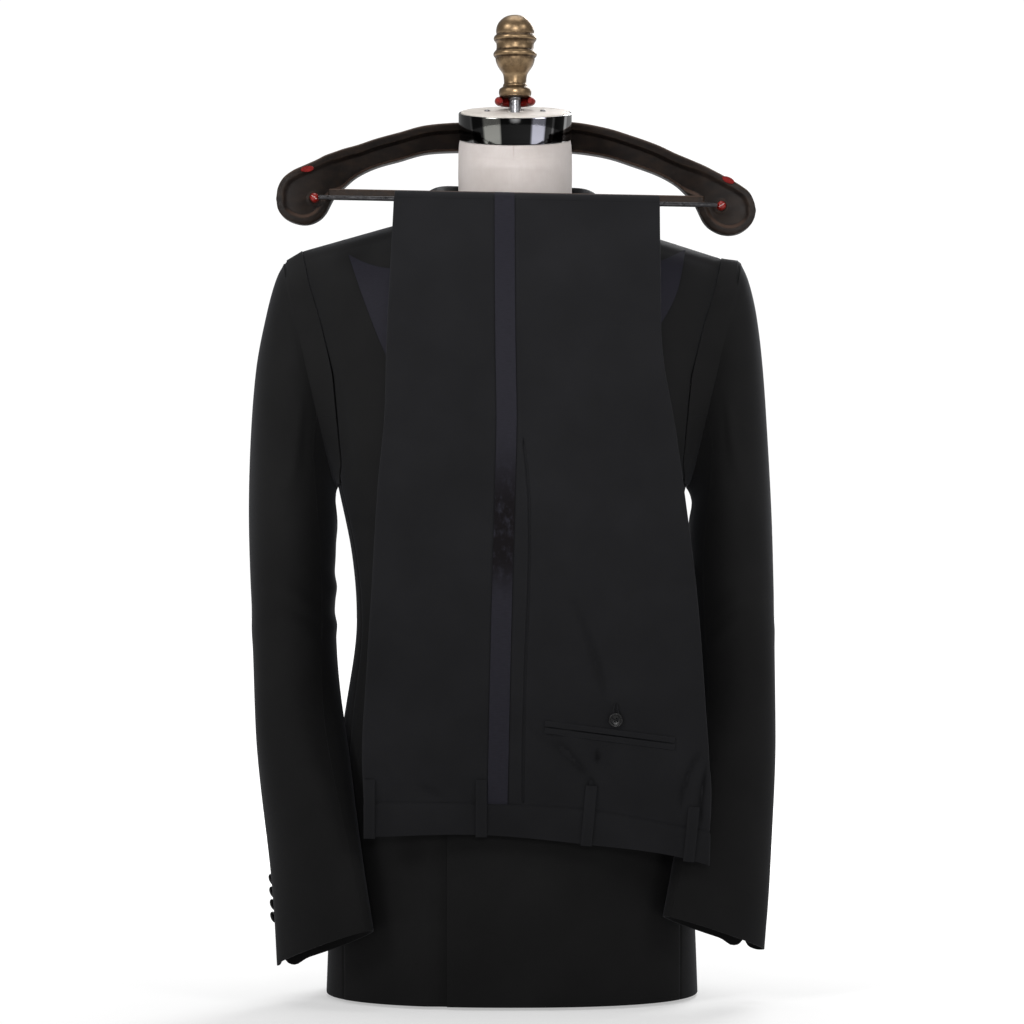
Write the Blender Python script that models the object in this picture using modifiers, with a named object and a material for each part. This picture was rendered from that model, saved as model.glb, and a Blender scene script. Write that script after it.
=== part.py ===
"""A double-breasted tuxedo on a limbless dress form. The form wears the jacket, and the
trousers are folded over the rod of a hanger that hangs at the form's neck.

Metres. The front is -Y, +X is the viewer's right (the wearer's left), +Z is up, and the
form's flat base stands on Z = 0 around the origin. A cloth panel is a grid of points on
the garment's outer face, with its wall inside them.
"""

from collections import namedtuple
import math

import bmesh
import bpy
from mathutils import Vector
import numpy as np

# Cloth and joins.
WALL = 0.0016
SEAM = 0.0006
LAY = 0.0006
LAPEL_RISE = 0.0019

# Jacket.
ARMPIT = 0.487
BREAK = 0.410
SHOULDER = 0.763
OVER_EDGE = -0.060
UNDER_EDGE = 0.055
NECK_EDGE = 0.068
LEAN = 0.018
TUCK = 0.0032

# Cuff and front buttons.
CUFF_BUTTON = 0.0114
CUFF_BUTTON_TOP = 0.1138
CUFF_BUTTON_PITCH = 0.0118
FRONT_BUTTON = 0.020
BUTTON_THICK = 0.0026

# Neck fittings and finial.
NECK_X = 0.003
NECK_Y = -0.008
RING_Z = 0.8277
NECK_RADIUS = 0.054
NECK_TILT = math.radians(12)
RING_HEIGHT = 0.0235
POST_RADIUS = 0.0067
POST_BOTTOM = 0.8305
CAP_SCREWS = (-0.0265, 0.0265)
CAP_THICK = 0.0032
GAP = 0.0004
FINIAL_FOOT = 0.857

# Hanger. HOOK_RADIUS is to the middle of its tube.
HOOK_Z = 0.8531
HOOK_RADIUS = 0.0151
HOOK_TUBE = 0.0036
STEM_TUBE = 0.0040
ROD_Y = -0.099
ROD_Z = 0.7490
ROD_SLOPE = -0.0195
ROD_RADIUS = 0.0020
BAR_Y = -0.0750
BAR_THICK = 0.006
BAR_HEIGHT = 0.0105
BAR_LIFT = 0.0050
HANGER_DEPTH = 0.024
HANGER_WALL = 0.004
ROD_SCREW_RADIUS = 0.0042
ROD_SCREW_LENGTH = 0.0062
DOT_RADIUS = 0.0018
DOT_THICK = 0.0008

# Trousers.
CORE_FOLD = 0.0016
CORE_DROP = 0.0042
LAYER = 0.0013
LAYER_GAP = 0.0005
STRIPE = 0.0185
LOOP_WIDTH = 0.0105
POCKET_BUTTON = 0.0135

# The finial from its top down: radius, and height over its foot.
FINIAL = [
    (0.0000, 0.0786), (0.0050, 0.0781), (0.0098, 0.0763), (0.0145, 0.0722), (0.0172, 0.0670),
    (0.0180, 0.0615), (0.0177, 0.0585), (0.0190, 0.0572), (0.0193, 0.0560), (0.0186, 0.0548),
    (0.0176, 0.0536), (0.0176, 0.0440), (0.0200, 0.0428), (0.0211, 0.0413), (0.0205, 0.0398),
    (0.0190, 0.0386), (0.0183, 0.0355), (0.0166, 0.0300), (0.0138, 0.0252), (0.0118, 0.0222),
    (0.0108, 0.0180), (0.0104, 0.0135), (0.0112, 0.0100), (0.0138, 0.0078), (0.0152, 0.0060),
    (0.0153, 0.0030), (0.0146, 0.0000), (0.0000, 0.0000),
]

# The hanger's screws and size dots on each side, the base's half sizes, and the stem.
ROD_SCREWS = {-1: (-0.1840, 0.7527), 1: (0.1949, 0.7452)}
DOTS = {-1: (-0.1900, 0.7795), 1: (0.2014, 0.7690)}
BASE_HALVES = (0.148, 0.098)
BASE_THICK = 0.0154
BASE_Y = 0.002
STEM = [
    (0.0191, 0.8551), (0.0340, 0.8600), (0.0480, 0.8575), (0.0560, 0.8490), (0.0585, 0.8374),
]

Body = namedtuple("Body", "level side_z half front back")
BODY = [
    Body(0.003, 0.003, 0.1772, 0.126, 0.130),
    Body(0.080, 0.080, 0.1742, 0.124, 0.130),
    Body(0.170, 0.170, 0.1685, 0.119, 0.127),
    Body(0.260, 0.260, 0.1605, 0.111, 0.119),
    Body(0.355, 0.355, 0.1485, 0.101, 0.101),
    Body(0.420, 0.420, 0.1530, 0.104, 0.104),
    Body(0.475, 0.475, 0.1640, 0.109, 0.114),
    Body(0.530, 0.528, 0.1760, 0.112, 0.122),
    Body(0.600, 0.588, 0.1860, 0.109, 0.126),
    Body(0.660, 0.635, 0.1930, 0.098, 0.122),
    Body(0.710, 0.672, 0.1985, 0.075, 0.103),
    Body(0.742, 0.694, 0.2020, 0.045, 0.070),
    Body(0.757, 0.702, 0.2035, 0.022, 0.036),
    Body(0.763, 0.705, 0.2040, 0.000, 0.000),
]
BODY_POWER = 2.4

# Where each front's or back's edges run: level against x.
Edge = namedtuple("Edge", "level x")
ARMHOLE = [
    Edge(0.487, 0.1590), Edge(0.530, 0.1630), Edge(0.600, 0.1690), Edge(0.660, 0.1810),
    Edge(0.710, 0.1930), Edge(0.742, 0.1980), Edge(0.757, 0.2000), Edge(0.763, 0.2005),
]
BACK_NECK = [
    Edge(0.003, SEAM / 2), Edge(0.738, SEAM / 2), Edge(0.747, 0.030), Edge(0.755, 0.052),
    Edge(0.763, NECK_EDGE),
]
FRONT_SEAM = [Edge(0.003, 58), Edge(0.487, 72)]
BACK_SEAM = [Edge(0.003, 120), Edge(0.487, 108)]

# The form under the jacket: z, half width and depths.
Form = namedtuple("Form", "z half front back")
FORM = [
    Form(0.016, 0.150, 0.100, 0.108),
    Form(0.120, 0.150, 0.104, 0.112),
    Form(0.240, 0.146, 0.098, 0.108),
    Form(0.350, 0.134, 0.088, 0.088),
    Form(0.430, 0.143, 0.095, 0.094),
    Form(0.520, 0.156, 0.102, 0.110),
    Form(0.600, 0.166, 0.097, 0.112),
    Form(0.660, 0.172, 0.082, 0.098),
    Form(0.692, 0.166, 0.060, 0.072),
    Form(0.704, 0.136, 0.046, 0.054),
    Form(0.720, 0.092, 0.046, 0.046),
    Form(0.738, 0.061, 0.052, 0.044),
    Form(0.760, 0.0550, 0.060, 0.045),
    Form(0.785, 0.0545, 0.062, 0.046),
]

# Sleeve rings: the outer and the inner end of each, and its half depth across them.
Ring = namedtuple("Ring", "outer_x outer_y outer_z inner_x inner_y inner_z depth")
SLEEVES = {
    -1: [
        Ring(0.2190, 0.009, 0.7005, 0.1685, 0.009, 0.4835, 0.055),
        Ring(0.2250, 0.010, 0.6840, 0.1700, 0.010, 0.4795, 0.059),
        Ring(0.2338, 0.010, 0.6500, 0.1705, 0.009, 0.4735, 0.062),
        Ring(0.2442, 0.009, 0.5950, 0.1705, 0.008, 0.4650, 0.063),
        Ring(0.2488, 0.008, 0.5200, 0.1700, 0.005, 0.4450, 0.062),
        Ring(0.2495, 0.005, 0.4400, 0.1705, 0.000, 0.4150, 0.059),
        Ring(0.2457, 0.001, 0.3550, 0.1710, -0.011, 0.3550, 0.053),
        Ring(0.2375, -0.012, 0.2750, 0.1685, -0.042, 0.2830, 0.047),
        Ring(0.2280, -0.037, 0.1950, 0.1570, -0.094, 0.2100, 0.0355),
        Ring(0.2205, -0.050, 0.1150, 0.1440, -0.115, 0.1400, 0.0275),
        Ring(0.2170, -0.055, 0.0340, 0.1315, -0.124, 0.0737, 0.0235),
    ],
    1: [
        Ring(0.2195, 0.009, 0.7015, 0.1685, 0.009, 0.4835, 0.055),
        Ring(0.2255, 0.010, 0.6830, 0.1710, 0.010, 0.4795, 0.059),
        Ring(0.2330, 0.010, 0.6480, 0.1730, 0.009, 0.4735, 0.062),
        Ring(0.2392, 0.009, 0.5950, 0.1740, 0.008, 0.4650, 0.063),
        Ring(0.2440, 0.008, 0.5200, 0.1720, 0.005, 0.4450, 0.062),
        Ring(0.2470, 0.005, 0.4400, 0.1715, 0.000, 0.4150, 0.059),
        Ring(0.2478, 0.001, 0.3550, 0.1740, -0.011, 0.3550, 0.053),
        Ring(0.2445, -0.010, 0.2750, 0.1760, -0.036, 0.2830, 0.047),
        Ring(0.2413, -0.033, 0.1950, 0.1690, -0.078, 0.2100, 0.036),
        Ring(0.2385, -0.045, 0.1150, 0.1560, -0.100, 0.1450, 0.029),
        Ring(0.2340, -0.051, 0.0480, 0.1430, -0.114, 0.0860, 0.024),
    ],
}
ARM_CENTRE_Y = 0.005
ARM_CENTRE_Z = 0.594
ARM_HALF_Y = 0.060
ARM_HALF_Z = 0.109
HIND_SEAM = {-1: (-95.0, -8.0), 1: (-95.0, -34.0)}
FORE_SEAM = (112.0, 168.0)

# Lapels, from the break of the roll up to the peak: inner, middle and outer x and z.
Lapel = namedtuple("Lapel", "inner_x inner_z mid_x mid_z outer_x outer_z")
LAPELS = {
    -1: [
        Lapel(-0.0450, 0.4650, -0.0475, 0.4660, -0.0500, 0.4670),
        Lapel(-0.0340, 0.5050, -0.0500, 0.5060, -0.0660, 0.5080),
        Lapel(-0.0120, 0.5650, -0.0530, 0.5640, -0.0950, 0.5620),
        Lapel(-0.0240, 0.6250, -0.0700, 0.6190, -0.1200, 0.6150),
        Lapel(-0.0470, 0.6950, -0.0850, 0.6650, -0.1380, 0.6600),
        Lapel(-0.0640, 0.7310, -0.0865, 0.6590, -0.1530, 0.7008),
    ],
    1: [
        Lapel(-0.0580, 0.4170, -0.0555, 0.4170, -0.0530, 0.4170),
        Lapel(-0.0300, 0.4950, 0.0060, 0.4900, 0.0440, 0.4850),
        Lapel(-0.0050, 0.5650, 0.0440, 0.5620, 0.0930, 0.5600),
        Lapel(0.0180, 0.6250, 0.0700, 0.6190, 0.1250, 0.6150),
        Lapel(0.0430, 0.6950, 0.0880, 0.6680, 0.1510, 0.6600),
        Lapel(0.0640, 0.7310, 0.0833, 0.6585, 0.1635, 0.7064),
    ],
}

# Collar, from the centre back to its end at the lapel: stand, fold and outer edge, which
# lies on the back and the shoulder.
Collar = namedtuple("Collar", "stand_x stand_y stand_z fold_x fold_y fold_z edge_x edge_y")
COLLAR = [
    Collar(0.000, 0.0580, 0.7570, 0.000, 0.0640, 0.7900, 0.000, 0.0790),
    Collar(0.038, 0.0500, 0.7560, 0.042, 0.0540, 0.7880, 0.058, 0.0640),
    Collar(0.060, 0.0240, 0.7540, 0.063, 0.0280, 0.7840, 0.093, 0.0280),
    Collar(0.066, -0.0080, 0.7520, 0.069, -0.0100, 0.7740, 0.104, -0.0140),
    Collar(0.068, -0.0360, 0.7500, 0.072, -0.0400, 0.7600, 0.107, -0.0500),
    Collar(0.067, -0.0530, 0.7450, 0.071, -0.0580, 0.7500, 0.100, -0.0625),
]

# Hanger arms by x: the middle's y, and the top and bottom of the moulding.
Arm = namedtuple("Arm", "x top bottom")
ARMS = {
    -1: [
        Arm(0.000, 0.8360, 0.8080), Arm(0.026, 0.8370, 0.8090), Arm(0.051, 0.8370, 0.8090),
        Arm(0.083, 0.8320, 0.8050), Arm(0.108, 0.8230, 0.7960), Arm(0.129, 0.8150, 0.7880),
        Arm(0.146, 0.8060, 0.7780),
        Arm(0.158, 0.8000, 0.7660), Arm(0.167, 0.7950, 0.7560), Arm(0.175, 0.7910, 0.7400),
        Arm(0.183, 0.7860, 0.7320), Arm(0.193, 0.7810, 0.7285), Arm(0.204, 0.7760, 0.7300),
        Arm(0.213, 0.7700, 0.7350), Arm(0.2185, 0.7600, 0.7430),
    ],
    1: [
        Arm(0.000, 0.8360, 0.8080), Arm(0.030, 0.8370, 0.8090), Arm(0.058, 0.8370, 0.8080),
        Arm(0.090, 0.8290, 0.8010), Arm(0.117, 0.8180, 0.7900), Arm(0.138, 0.8080, 0.7800),
        Arm(0.153, 0.7990, 0.7700),
        Arm(0.162, 0.7940, 0.7610), Arm(0.171, 0.7890, 0.7500), Arm(0.180, 0.7840, 0.7310),
        Arm(0.190, 0.7780, 0.7220), Arm(0.201, 0.7715, 0.7185), Arm(0.212, 0.7650, 0.7200),
        Arm(0.221, 0.7580, 0.7260), Arm(0.2265, 0.7480, 0.7340),
    ],
}
ARM_BACK_Y = 0.066
ARM_SWEEP = 0.149
ARM_REACH = 0.190
SWEEP_POWER = 1.6

# Trousers on the front drop by z: the front crease, the stripe's middle and the centre back.
Leg = namedtuple("Leg", "z left stripe right")
LEG = [
    Leg(0.134, -0.1345, -0.0150, 0.1803),
    Leg(0.190, -0.1362, -0.0134, 0.1818),
    Leg(0.2325, -0.1378, -0.0125, 0.1821),
    Leg(0.306, -0.1340, -0.0110, 0.1775),
    Leg(0.388, -0.1290, -0.0090, 0.1711),
    Leg(0.489, -0.1228, -0.0062, 0.1583),
    Leg(0.544, -0.1175, -0.0050, 0.1500),
    Leg(0.610, -0.1158, -0.0060, 0.1385),
    Leg(0.680, -0.1125, -0.0066, 0.1372),
    Leg(0.765, -0.1090, -0.0069, 0.1372),
]
# Its profile by z: the inner face's y on the front drop and on the drop behind.
Drop = namedtuple("Drop", "z front behind")
DROP = [
    Drop(0.130, -0.1300, -0.1280),
    Drop(0.400, -0.1306, -0.1286),
    Drop(0.520, -0.1306, -0.1286),
    Drop(0.580, -0.1292, -0.1268),
    Drop(0.630, -0.1252, -0.1214),
    Drop(0.670, -0.1188, -0.1142),
    Drop(0.700, -0.1128, -0.1078),
    Drop(0.730, -0.1056, -0.1004),
    Drop(0.749, -0.1014, -0.0966),
]
HEM_Z = 0.300
# Waistband on the front drop by x: its seam with the legs and its free edge.
Band = namedtuple("Band", "x seam edge")
BAND = [
    Band(-0.140, 0.1940, 0.1615),
    Band(-0.020, 0.1920, 0.1632),
    Band(0.062, 0.1875, 0.1554),
    Band(0.163, 0.1700, 0.1407),
    Band(0.185, 0.1660, 0.1343),
]
Loop = namedtuple("Loop", "top_x top_z bottom_x bottom_z")
LOOPS = [
    Loop(-0.1310, 0.2145, -0.1310, 0.1612),
    Loop(-0.0282, 0.2142, -0.0282, 0.1625),
    Loop(0.0730, 0.2086, 0.0680, 0.1545),
    Loop(0.1672, 0.1893, 0.1620, 0.1400),
]
# The hip pocket's opening: its two ends.
POCKET = ((0.0300, 0.2628), (0.1495, 0.2473))
JET = 0.0052


def clear_scene():
    for obj in list(bpy.data.objects):
        bpy.data.objects.remove(obj)


def new_collection(name):
    made = bpy.data.collections.new(name)
    bpy.context.scene.collection.children.link(made)
    return made


def material(name, colour, roughness, metallic=0.0):
    made = bpy.data.materials.new(name)
    made.use_nodes = True
    shader = made.node_tree.nodes["Principled BSDF"]
    shader.inputs["Base Color"].default_value = (*colour, 1)
    shader.inputs["Roughness"].default_value = roughness
    shader.inputs["Metallic"].default_value = metallic
    made.diffuse_color = (*colour, 1)
    return made


clear_scene()
PARTS = new_collection("tuxedo")
CUTTERS = new_collection("cutters")
WOOL = material("black_wool", (0.006, 0.006, 0.007), 0.9)
SATIN = material("satin", (0.016, 0.016, 0.024), 0.45)
HORN = material("black_button", (0.008, 0.008, 0.009), 0.3)
LINEN = material("linen", (0.66, 0.60, 0.51), 0.85)
CREAM = material("cream_cap", (0.78, 0.72, 0.60), 0.5)
CHROME = material("chrome", (0.85, 0.85, 0.86), 0.08, 1.0)
STEEL = material("steel", (0.45, 0.45, 0.46), 0.3, 1.0)
BRASS = material("aged_brass", (0.34, 0.22, 0.10), 0.42, 1.0)
BROWN = material("brown_moulding", (0.035, 0.022, 0.016), 0.5)
RED = material("red_plastic", (0.30, 0.02, 0.015), 0.3)


def along(rows, at):
    """The row at this value of the first column, on a smooth curve through the rows."""
    table = np.array(rows, float)
    keys = table[:, 0]
    slopes = np.gradient(table, keys, axis=0)
    first = int(np.clip(np.searchsorted(keys, at) - 1, 0, len(keys) - 2))
    width = keys[first + 1] - keys[first]
    t = (at - keys[first]) / width
    start, end = table[first], table[first + 1]
    mix = (
        (2 * t**3 - 3 * t**2 + 1) * start
        + (t**3 - 2 * t**2 + t) * width * slopes[first]
        + (3 * t**2 - 2 * t**3) * end
        + (t**3 - t**2) * width * slopes[first + 1]
    )
    return type(rows[0])(*mix)


def between(rows, at):
    """The second column at this value of the first, on straight lines through the rows."""
    table = np.array(rows, float)
    return float(np.interp(at, table[:, 0], table[:, 1]))


def in_order(rows, at):
    """The row at this place, counted in rows, on a smooth curve through them."""
    table = np.array(rows, float)
    numbered = np.column_stack([np.arange(len(table)), table])
    line = namedtuple("Line", ["place"] + list(rows[0]._fields))
    made = along([line(*row) for row in numbered], at)
    return type(rows[0])(*made[1:])


def ease(value):
    value = min(max(value, 0.0), 1.0)
    return value * value * (3 - 2 * value)


def finish(obj, finish_material, smooth=True):
    obj.data.materials.append(finish_material)
    if smooth:
        obj.data.shade_smooth()
        obj.data.set_sharp_from_angle(angle=math.radians(40))
    for collection in list(obj.users_collection):
        collection.objects.unlink(obj)
    PARTS.objects.link(obj)
    return obj


def mesh_object(name, points, faces, finish_material):
    mesh = bpy.data.meshes.new(name)
    mesh.from_pydata([tuple(point) for point in points], [], faces)
    mesh.validate()
    obj = bpy.data.objects.new(name, mesh)
    PARTS.objects.link(obj)
    return finish(obj, finish_material)


def grid_faces(rows, columns, round_columns=False):
    last = columns if round_columns else columns - 1
    faces = []
    for i in range(rows - 1):
        for j in range(last):
            right = (j + 1) % columns
            corners = (i * columns + j, i * columns + right)
            upper = ((i + 1) * columns + right, (i + 1) * columns + j)
            faces.append(corners + upper)
    return faces


def cloth(name, grid, finish_material, thick=WALL, turn=False):
    """A panel: rows of points upward, each from left to right as seen from outside."""
    rows, columns = len(grid), len(grid[0])
    faces = grid_faces(rows, columns)
    if turn:
        faces = [face[::-1] for face in faces]
    points = [point for row in grid for point in row]
    obj = mesh_object(name, points, faces, finish_material)
    wall = obj.modifiers.new("wall", "SOLIDIFY")
    wall.thickness = thick
    wall.offset = -1
    return obj


def loft(name, sections, finish_material, turn=False):
    """A closed solid through sections with the same number of points."""
    rows, columns = len(sections), len(sections[0])
    faces = grid_faces(rows, columns, round_columns=True)
    faces.append(tuple(reversed(range(columns))))
    faces.append(tuple(range((rows - 1) * columns, rows * columns)))
    if turn:
        faces = [face[::-1] for face in faces]
    points = [point for row in sections for point in row]
    return mesh_object(name, points, faces, finish_material)


def turned(name, profile, finish_material, steps=24):
    """A turned solid: the profile lists radius and height from the top down."""
    mesh = bpy.data.meshes.new(name)
    points = [(radius, 0, height) for radius, height in profile]
    mesh.from_pydata(points, [(i, i + 1) for i in range(len(points) - 1)], [])
    obj = bpy.data.objects.new(name, mesh)
    PARTS.objects.link(obj)
    screw = obj.modifiers.new("turn", "SCREW")
    screw.steps = steps
    screw.render_steps = steps
    screw.use_merge_vertices = True
    screw.merge_threshold = 0.00001
    screw.use_smooth_shade = True
    obj.data.materials.append(finish_material)
    return obj


def tube(name, route, radius, finish_material, cyclic=False):
    curve = bpy.data.curves.new(name, "CURVE")
    curve.dimensions = "3D"
    curve.bevel_depth = radius
    curve.bevel_resolution = 3
    curve.use_fill_caps = True
    spline = curve.splines.new("POLY")
    spline.points.add(len(route) - 1)
    for point, place in zip(spline.points, route):
        point.co = (*place, 1)
    spline.use_cyclic_u = cyclic
    obj = bpy.data.objects.new(name, curve)
    PARTS.objects.link(obj)
    curve.materials.append(finish_material)
    return obj


def disc(name, centre, facing, radius, thick, finish_material, sides=16):
    """A button or a screw head: a cylinder with its edges rounded, standing on its centre."""
    turn = Vector(facing).to_track_quat("Z", "Y")
    place = Vector(centre) + Vector(facing).normalized() * thick / 2
    bpy.ops.mesh.primitive_cylinder_add(vertices=sides, radius=radius, depth=thick)
    obj = bpy.context.active_object
    obj.name = name
    obj.rotation_mode = "QUATERNION"
    obj.rotation_quaternion = turn
    obj.location = place
    round_edge = obj.modifiers.new("round", "BEVEL")
    round_edge.width = thick * 0.22
    round_edge.segments = 1
    round_edge.limit_method = "ANGLE"
    return finish(obj, finish_material)


# --- the jacket's body -------------------------------------------------------------


def body(angle, level, out=0.0):
    """A point of the jacket's outer face, moved out along the face by out. The angle, in
    degrees, is 0 at the front's centre, 90 at the +X side and 180 at the back."""
    if out:
        place = body(angle, level)
        step = 0.5
        lower = min(level, SHOULDER - 0.004)
        across = body(angle + step, lower) - body(angle - step, lower)
        up = body(angle, lower + 0.002) - body(angle, lower - 0.002)
        return place + across.cross(up).normalized() * out
    row = along(BODY, level)
    sine, cosine = math.sin(math.radians(angle)), math.cos(math.radians(angle))
    reach = (abs(sine) ** BODY_POWER + abs(cosine) ** BODY_POWER) ** (-1 / BODY_POWER)
    x = row.half * sine * reach
    depth = row.front if cosine > 0 else row.back
    y = -max(depth, 0) * cosine * reach
    z = row.level + (row.side_z - row.level) * abs(x) / row.half
    lean = LEAN * x * ease((level - ARMPIT) / (SHOULDER - ARMPIT))
    return Vector((x, y, z - lean))


def angle_at(x, level, behind=False):
    """The angle of the body's point at this x."""
    share = min(abs(x) / along(BODY, level).half, 1)
    rest = max(1 - share**BODY_POWER, 0) ** (1 / BODY_POWER)
    angle = math.degrees(math.atan2(share, -rest if behind else rest))
    return math.copysign(angle, x)


def on_front(x, z, out=0.0):
    """The point of the jacket's front at this x and z, moved out."""
    low, high = 0.003, SHOULDER
    for _ in range(30):
        level = (low + high) / 2
        if body(angle_at(x, level), level).z < z:
            low = level
        else:
            high = level
    return body(angle_at(x, level), level, out)


def on_top(x, y, out=0.0):
    """The point of the jacket's shoulder at this x and y, moved out."""
    low, high = 0.55, SHOULDER
    for _ in range(30):
        level = (low + high) / 2
        if abs(body(angle_at(x, level, y > 0), level).y) > abs(y):
            low = level
        else:
            high = level
    return body(angle_at(x, level, y > 0), level, out)


def levels(below, above):
    """Levels of a panel's rows: below and above the armpit."""
    low = np.linspace(BODY[0].level, ARMPIT, below + 1)
    share = np.linspace(0, 1, above + 1)[1:]
    high = ARMPIT + (SHOULDER - ARMPIT) * np.sin(share * math.pi / 2)
    return [float(level) for level in (*low, *high)]


def seam_angle(seam, level, behind):
    """The angle of the seam on a panel's outer edge: a side seam, then the armhole."""
    if level <= ARMPIT + 1e-6:
        return between(seam, level)
    start = between(seam, ARMPIT)
    edge = abs(angle_at(between(ARMHOLE, level), level, behind))
    return start + (edge - start) * ease((level - ARMPIT) / 0.02)


def gap_angle(level):
    """Half a seam's gap, in degrees round the body."""
    return math.degrees(SEAM / 2 / along(BODY, level).half)


def columns(start, end, count, narrow=0.03):
    """Values from start to end, with a narrow first and last step so that the walls of two
    panels meet square at their seam."""
    inner = np.linspace(start + (end - start) * narrow, end - (end - start) * narrow, count)
    return [start, *inner, end]


def back_panel(side):
    grid = []
    for level in levels(8, 9):
        outer = seam_angle(BACK_SEAM, level, True) + gap_angle(level)
        inner = abs(angle_at(between(BACK_NECK, level), level, True))
        if level > BODY[-1].level - 1e-6:
            inner = abs(angle_at(NECK_EDGE, level - 1e-4, True))
        row = [body(side * angle, level) for angle in columns(outer, inner, 6)]
        grid.append([shoulder_gap(point, level, 1) for point in row])
    return grid if side > 0 else [row[::-1] for row in grid]


def shoulder_gap(point, level, toward):
    """At the shoulder seam a panel stops short of the seam line, on its own side."""
    if level < SHOULDER - 1e-6:
        return point
    return Vector((point.x, toward * SEAM, point.z))


def side_panel(side):
    grid = []
    for level in np.linspace(BODY[0].level, ARMPIT, 9):
        first = between(FRONT_SEAM, level) + gap_angle(level)
        last = between(BACK_SEAM, level) - gap_angle(level)
        grid.append([body(side * angle, level) for angle in columns(first, last, 3)])
    return grid if side > 0 else [row[::-1] for row in grid]


def roll_line(level, edge, top):
    """The x of a front's inner edge: straight up to the break, then in a line to the neck."""
    if level < BREAK:
        return edge
    return edge + (top - edge) * (level - BREAK) / (SHOULDER - BREAK)


def under_tuck(x):
    """How far the under front sinks below the over front."""
    return -TUCK * ease((x - OVER_EDGE + 0.022) / 0.018)


def front_panel(side):
    """Side 1 is the wearer's left front, which laps over; side -1 is the right, under it."""
    grid = []
    for level in levels(8, 10):
        outer = side * (seam_angle(FRONT_SEAM, level, False) - gap_angle(level))
        if side > 0:
            inner_x = roll_line(level, OVER_EDGE, NECK_EDGE)
        else:
            inner_x = roll_line(level, UNDER_EDGE, -NECK_EDGE)
        inner = angle_at(inner_x, min(level, SHOULDER - 1e-4))
        row = []
        for angle in columns(inner, outer, 8):
            point = body(angle, level)
            if side < 0 and level < 0.62:
                point = body(angle, level, under_tuck(point.x))
            row.append(shoulder_gap(point, level, -1))
        grid.append(row if side > 0 else row[::-1])
    return grid


def lapel_grid(side):
    """Rows of points from the roll line out to the lapel's edge, laid on the front."""
    grid = []
    for place in np.linspace(0, len(LAPELS[side]) - 1, 13):
        row = in_order(LAPELS[side], place)
        points = []
        for share in np.linspace(0, 1, 6):
            pull = 2 * share * (1 - share)
            x = row.inner_x * (1 - share) ** 2 + row.outer_x * share**2 + pull * row.mid_x
            z = row.inner_z * (1 - share) ** 2 + row.outer_z * share**2 + pull * row.mid_z
            rise = LAPEL_RISE + WALL + 0.0012 * math.sin(share * math.pi)
            points.append(on_front(x, z, rise))
        grid.append(points if side > 0 else points[::-1])
    return grid


def collar_grid():
    """The collar folded over: from inside the stand, over the fold, to the outer edge."""
    grid = []
    places = np.linspace(-len(COLLAR) + 1, len(COLLAR) - 1, 19)
    for share in np.linspace(0, 1, 8):
        row = []
        for place in places:
            cut = in_order(COLLAR, abs(place))
            side = math.copysign(1, place)
            stand = Vector((side * cut.stand_x, cut.stand_y, cut.stand_z))
            fold = Vector((side * cut.fold_x, cut.fold_y, cut.fold_z))
            edge = on_top(side * cut.edge_x, cut.edge_y, LAPEL_RISE + WALL)
            lift = Vector((0, 0, 0.5 * (fold.z - max(stand.z, edge.z))))
            middle = fold + lift
            point = stand * (1 - share) ** 2 + middle * 2 * share * (1 - share)
            point += edge * share**2
            point.z -= LEAN * point.x * (1 - share)
            row.append(point)
        grid.append(row)
    return grid


# --- sleeves -------------------------------------------------------------------------


def armhole(side):
    """The armhole's edge as angles round it and points, the angle 0 at the top and 90 in
    front."""
    points = []
    for level in np.linspace(ARMPIT, SHOULDER, 40):
        angle = seam_angle(FRONT_SEAM, level, False)
        points.append(body(side * angle, level))
    for level in np.linspace(SHOULDER, ARMPIT, 40)[1:]:
        angle = seam_angle(BACK_SEAM, level, True)
        points.append(body(side * angle, level))
    for angle in np.linspace(between(BACK_SEAM, ARMPIT), between(FRONT_SEAM, ARMPIT), 8)[1:-1]:
        points.append(body(side * angle, ARMPIT))
    turned_round = []
    for point in points:
        forward = -(point.y - ARM_CENTRE_Y) / ARM_HALF_Y
        upward = (point.z - ARM_CENTRE_Z) / ARM_HALF_Z
        turned_round.append((math.degrees(math.atan2(forward, upward)), *point))
    return np.array(sorted(turned_round))


def armhole_point(table, side, angle):
    angle = (angle + 180) % 360 - 180
    place = [np.interp(angle, table[:, 0], table[:, k], period=360) for k in (1, 2, 3)]
    clear = 0.0016
    return Vector((place[0] + side * clear, place[1], place[2]))


def ring_point(ring, side, angle):
    outer = Vector((side * ring.outer_x, ring.outer_y, ring.outer_z))
    inner = Vector((side * ring.inner_x, ring.inner_y, ring.inner_z))
    axis = (outer - inner) / 2
    flat = Vector((axis.x, axis.y, 0)).normalized()
    forward = Vector((flat.y * side, -flat.x * side, 0)) * ring.depth
    # Across the cap the ring's ends differ mostly in height, so its depth is front to back.
    turn = math.radians(angle)
    return (outer + inner) / 2 + axis * math.cos(turn) + forward * math.sin(turn)


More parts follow.
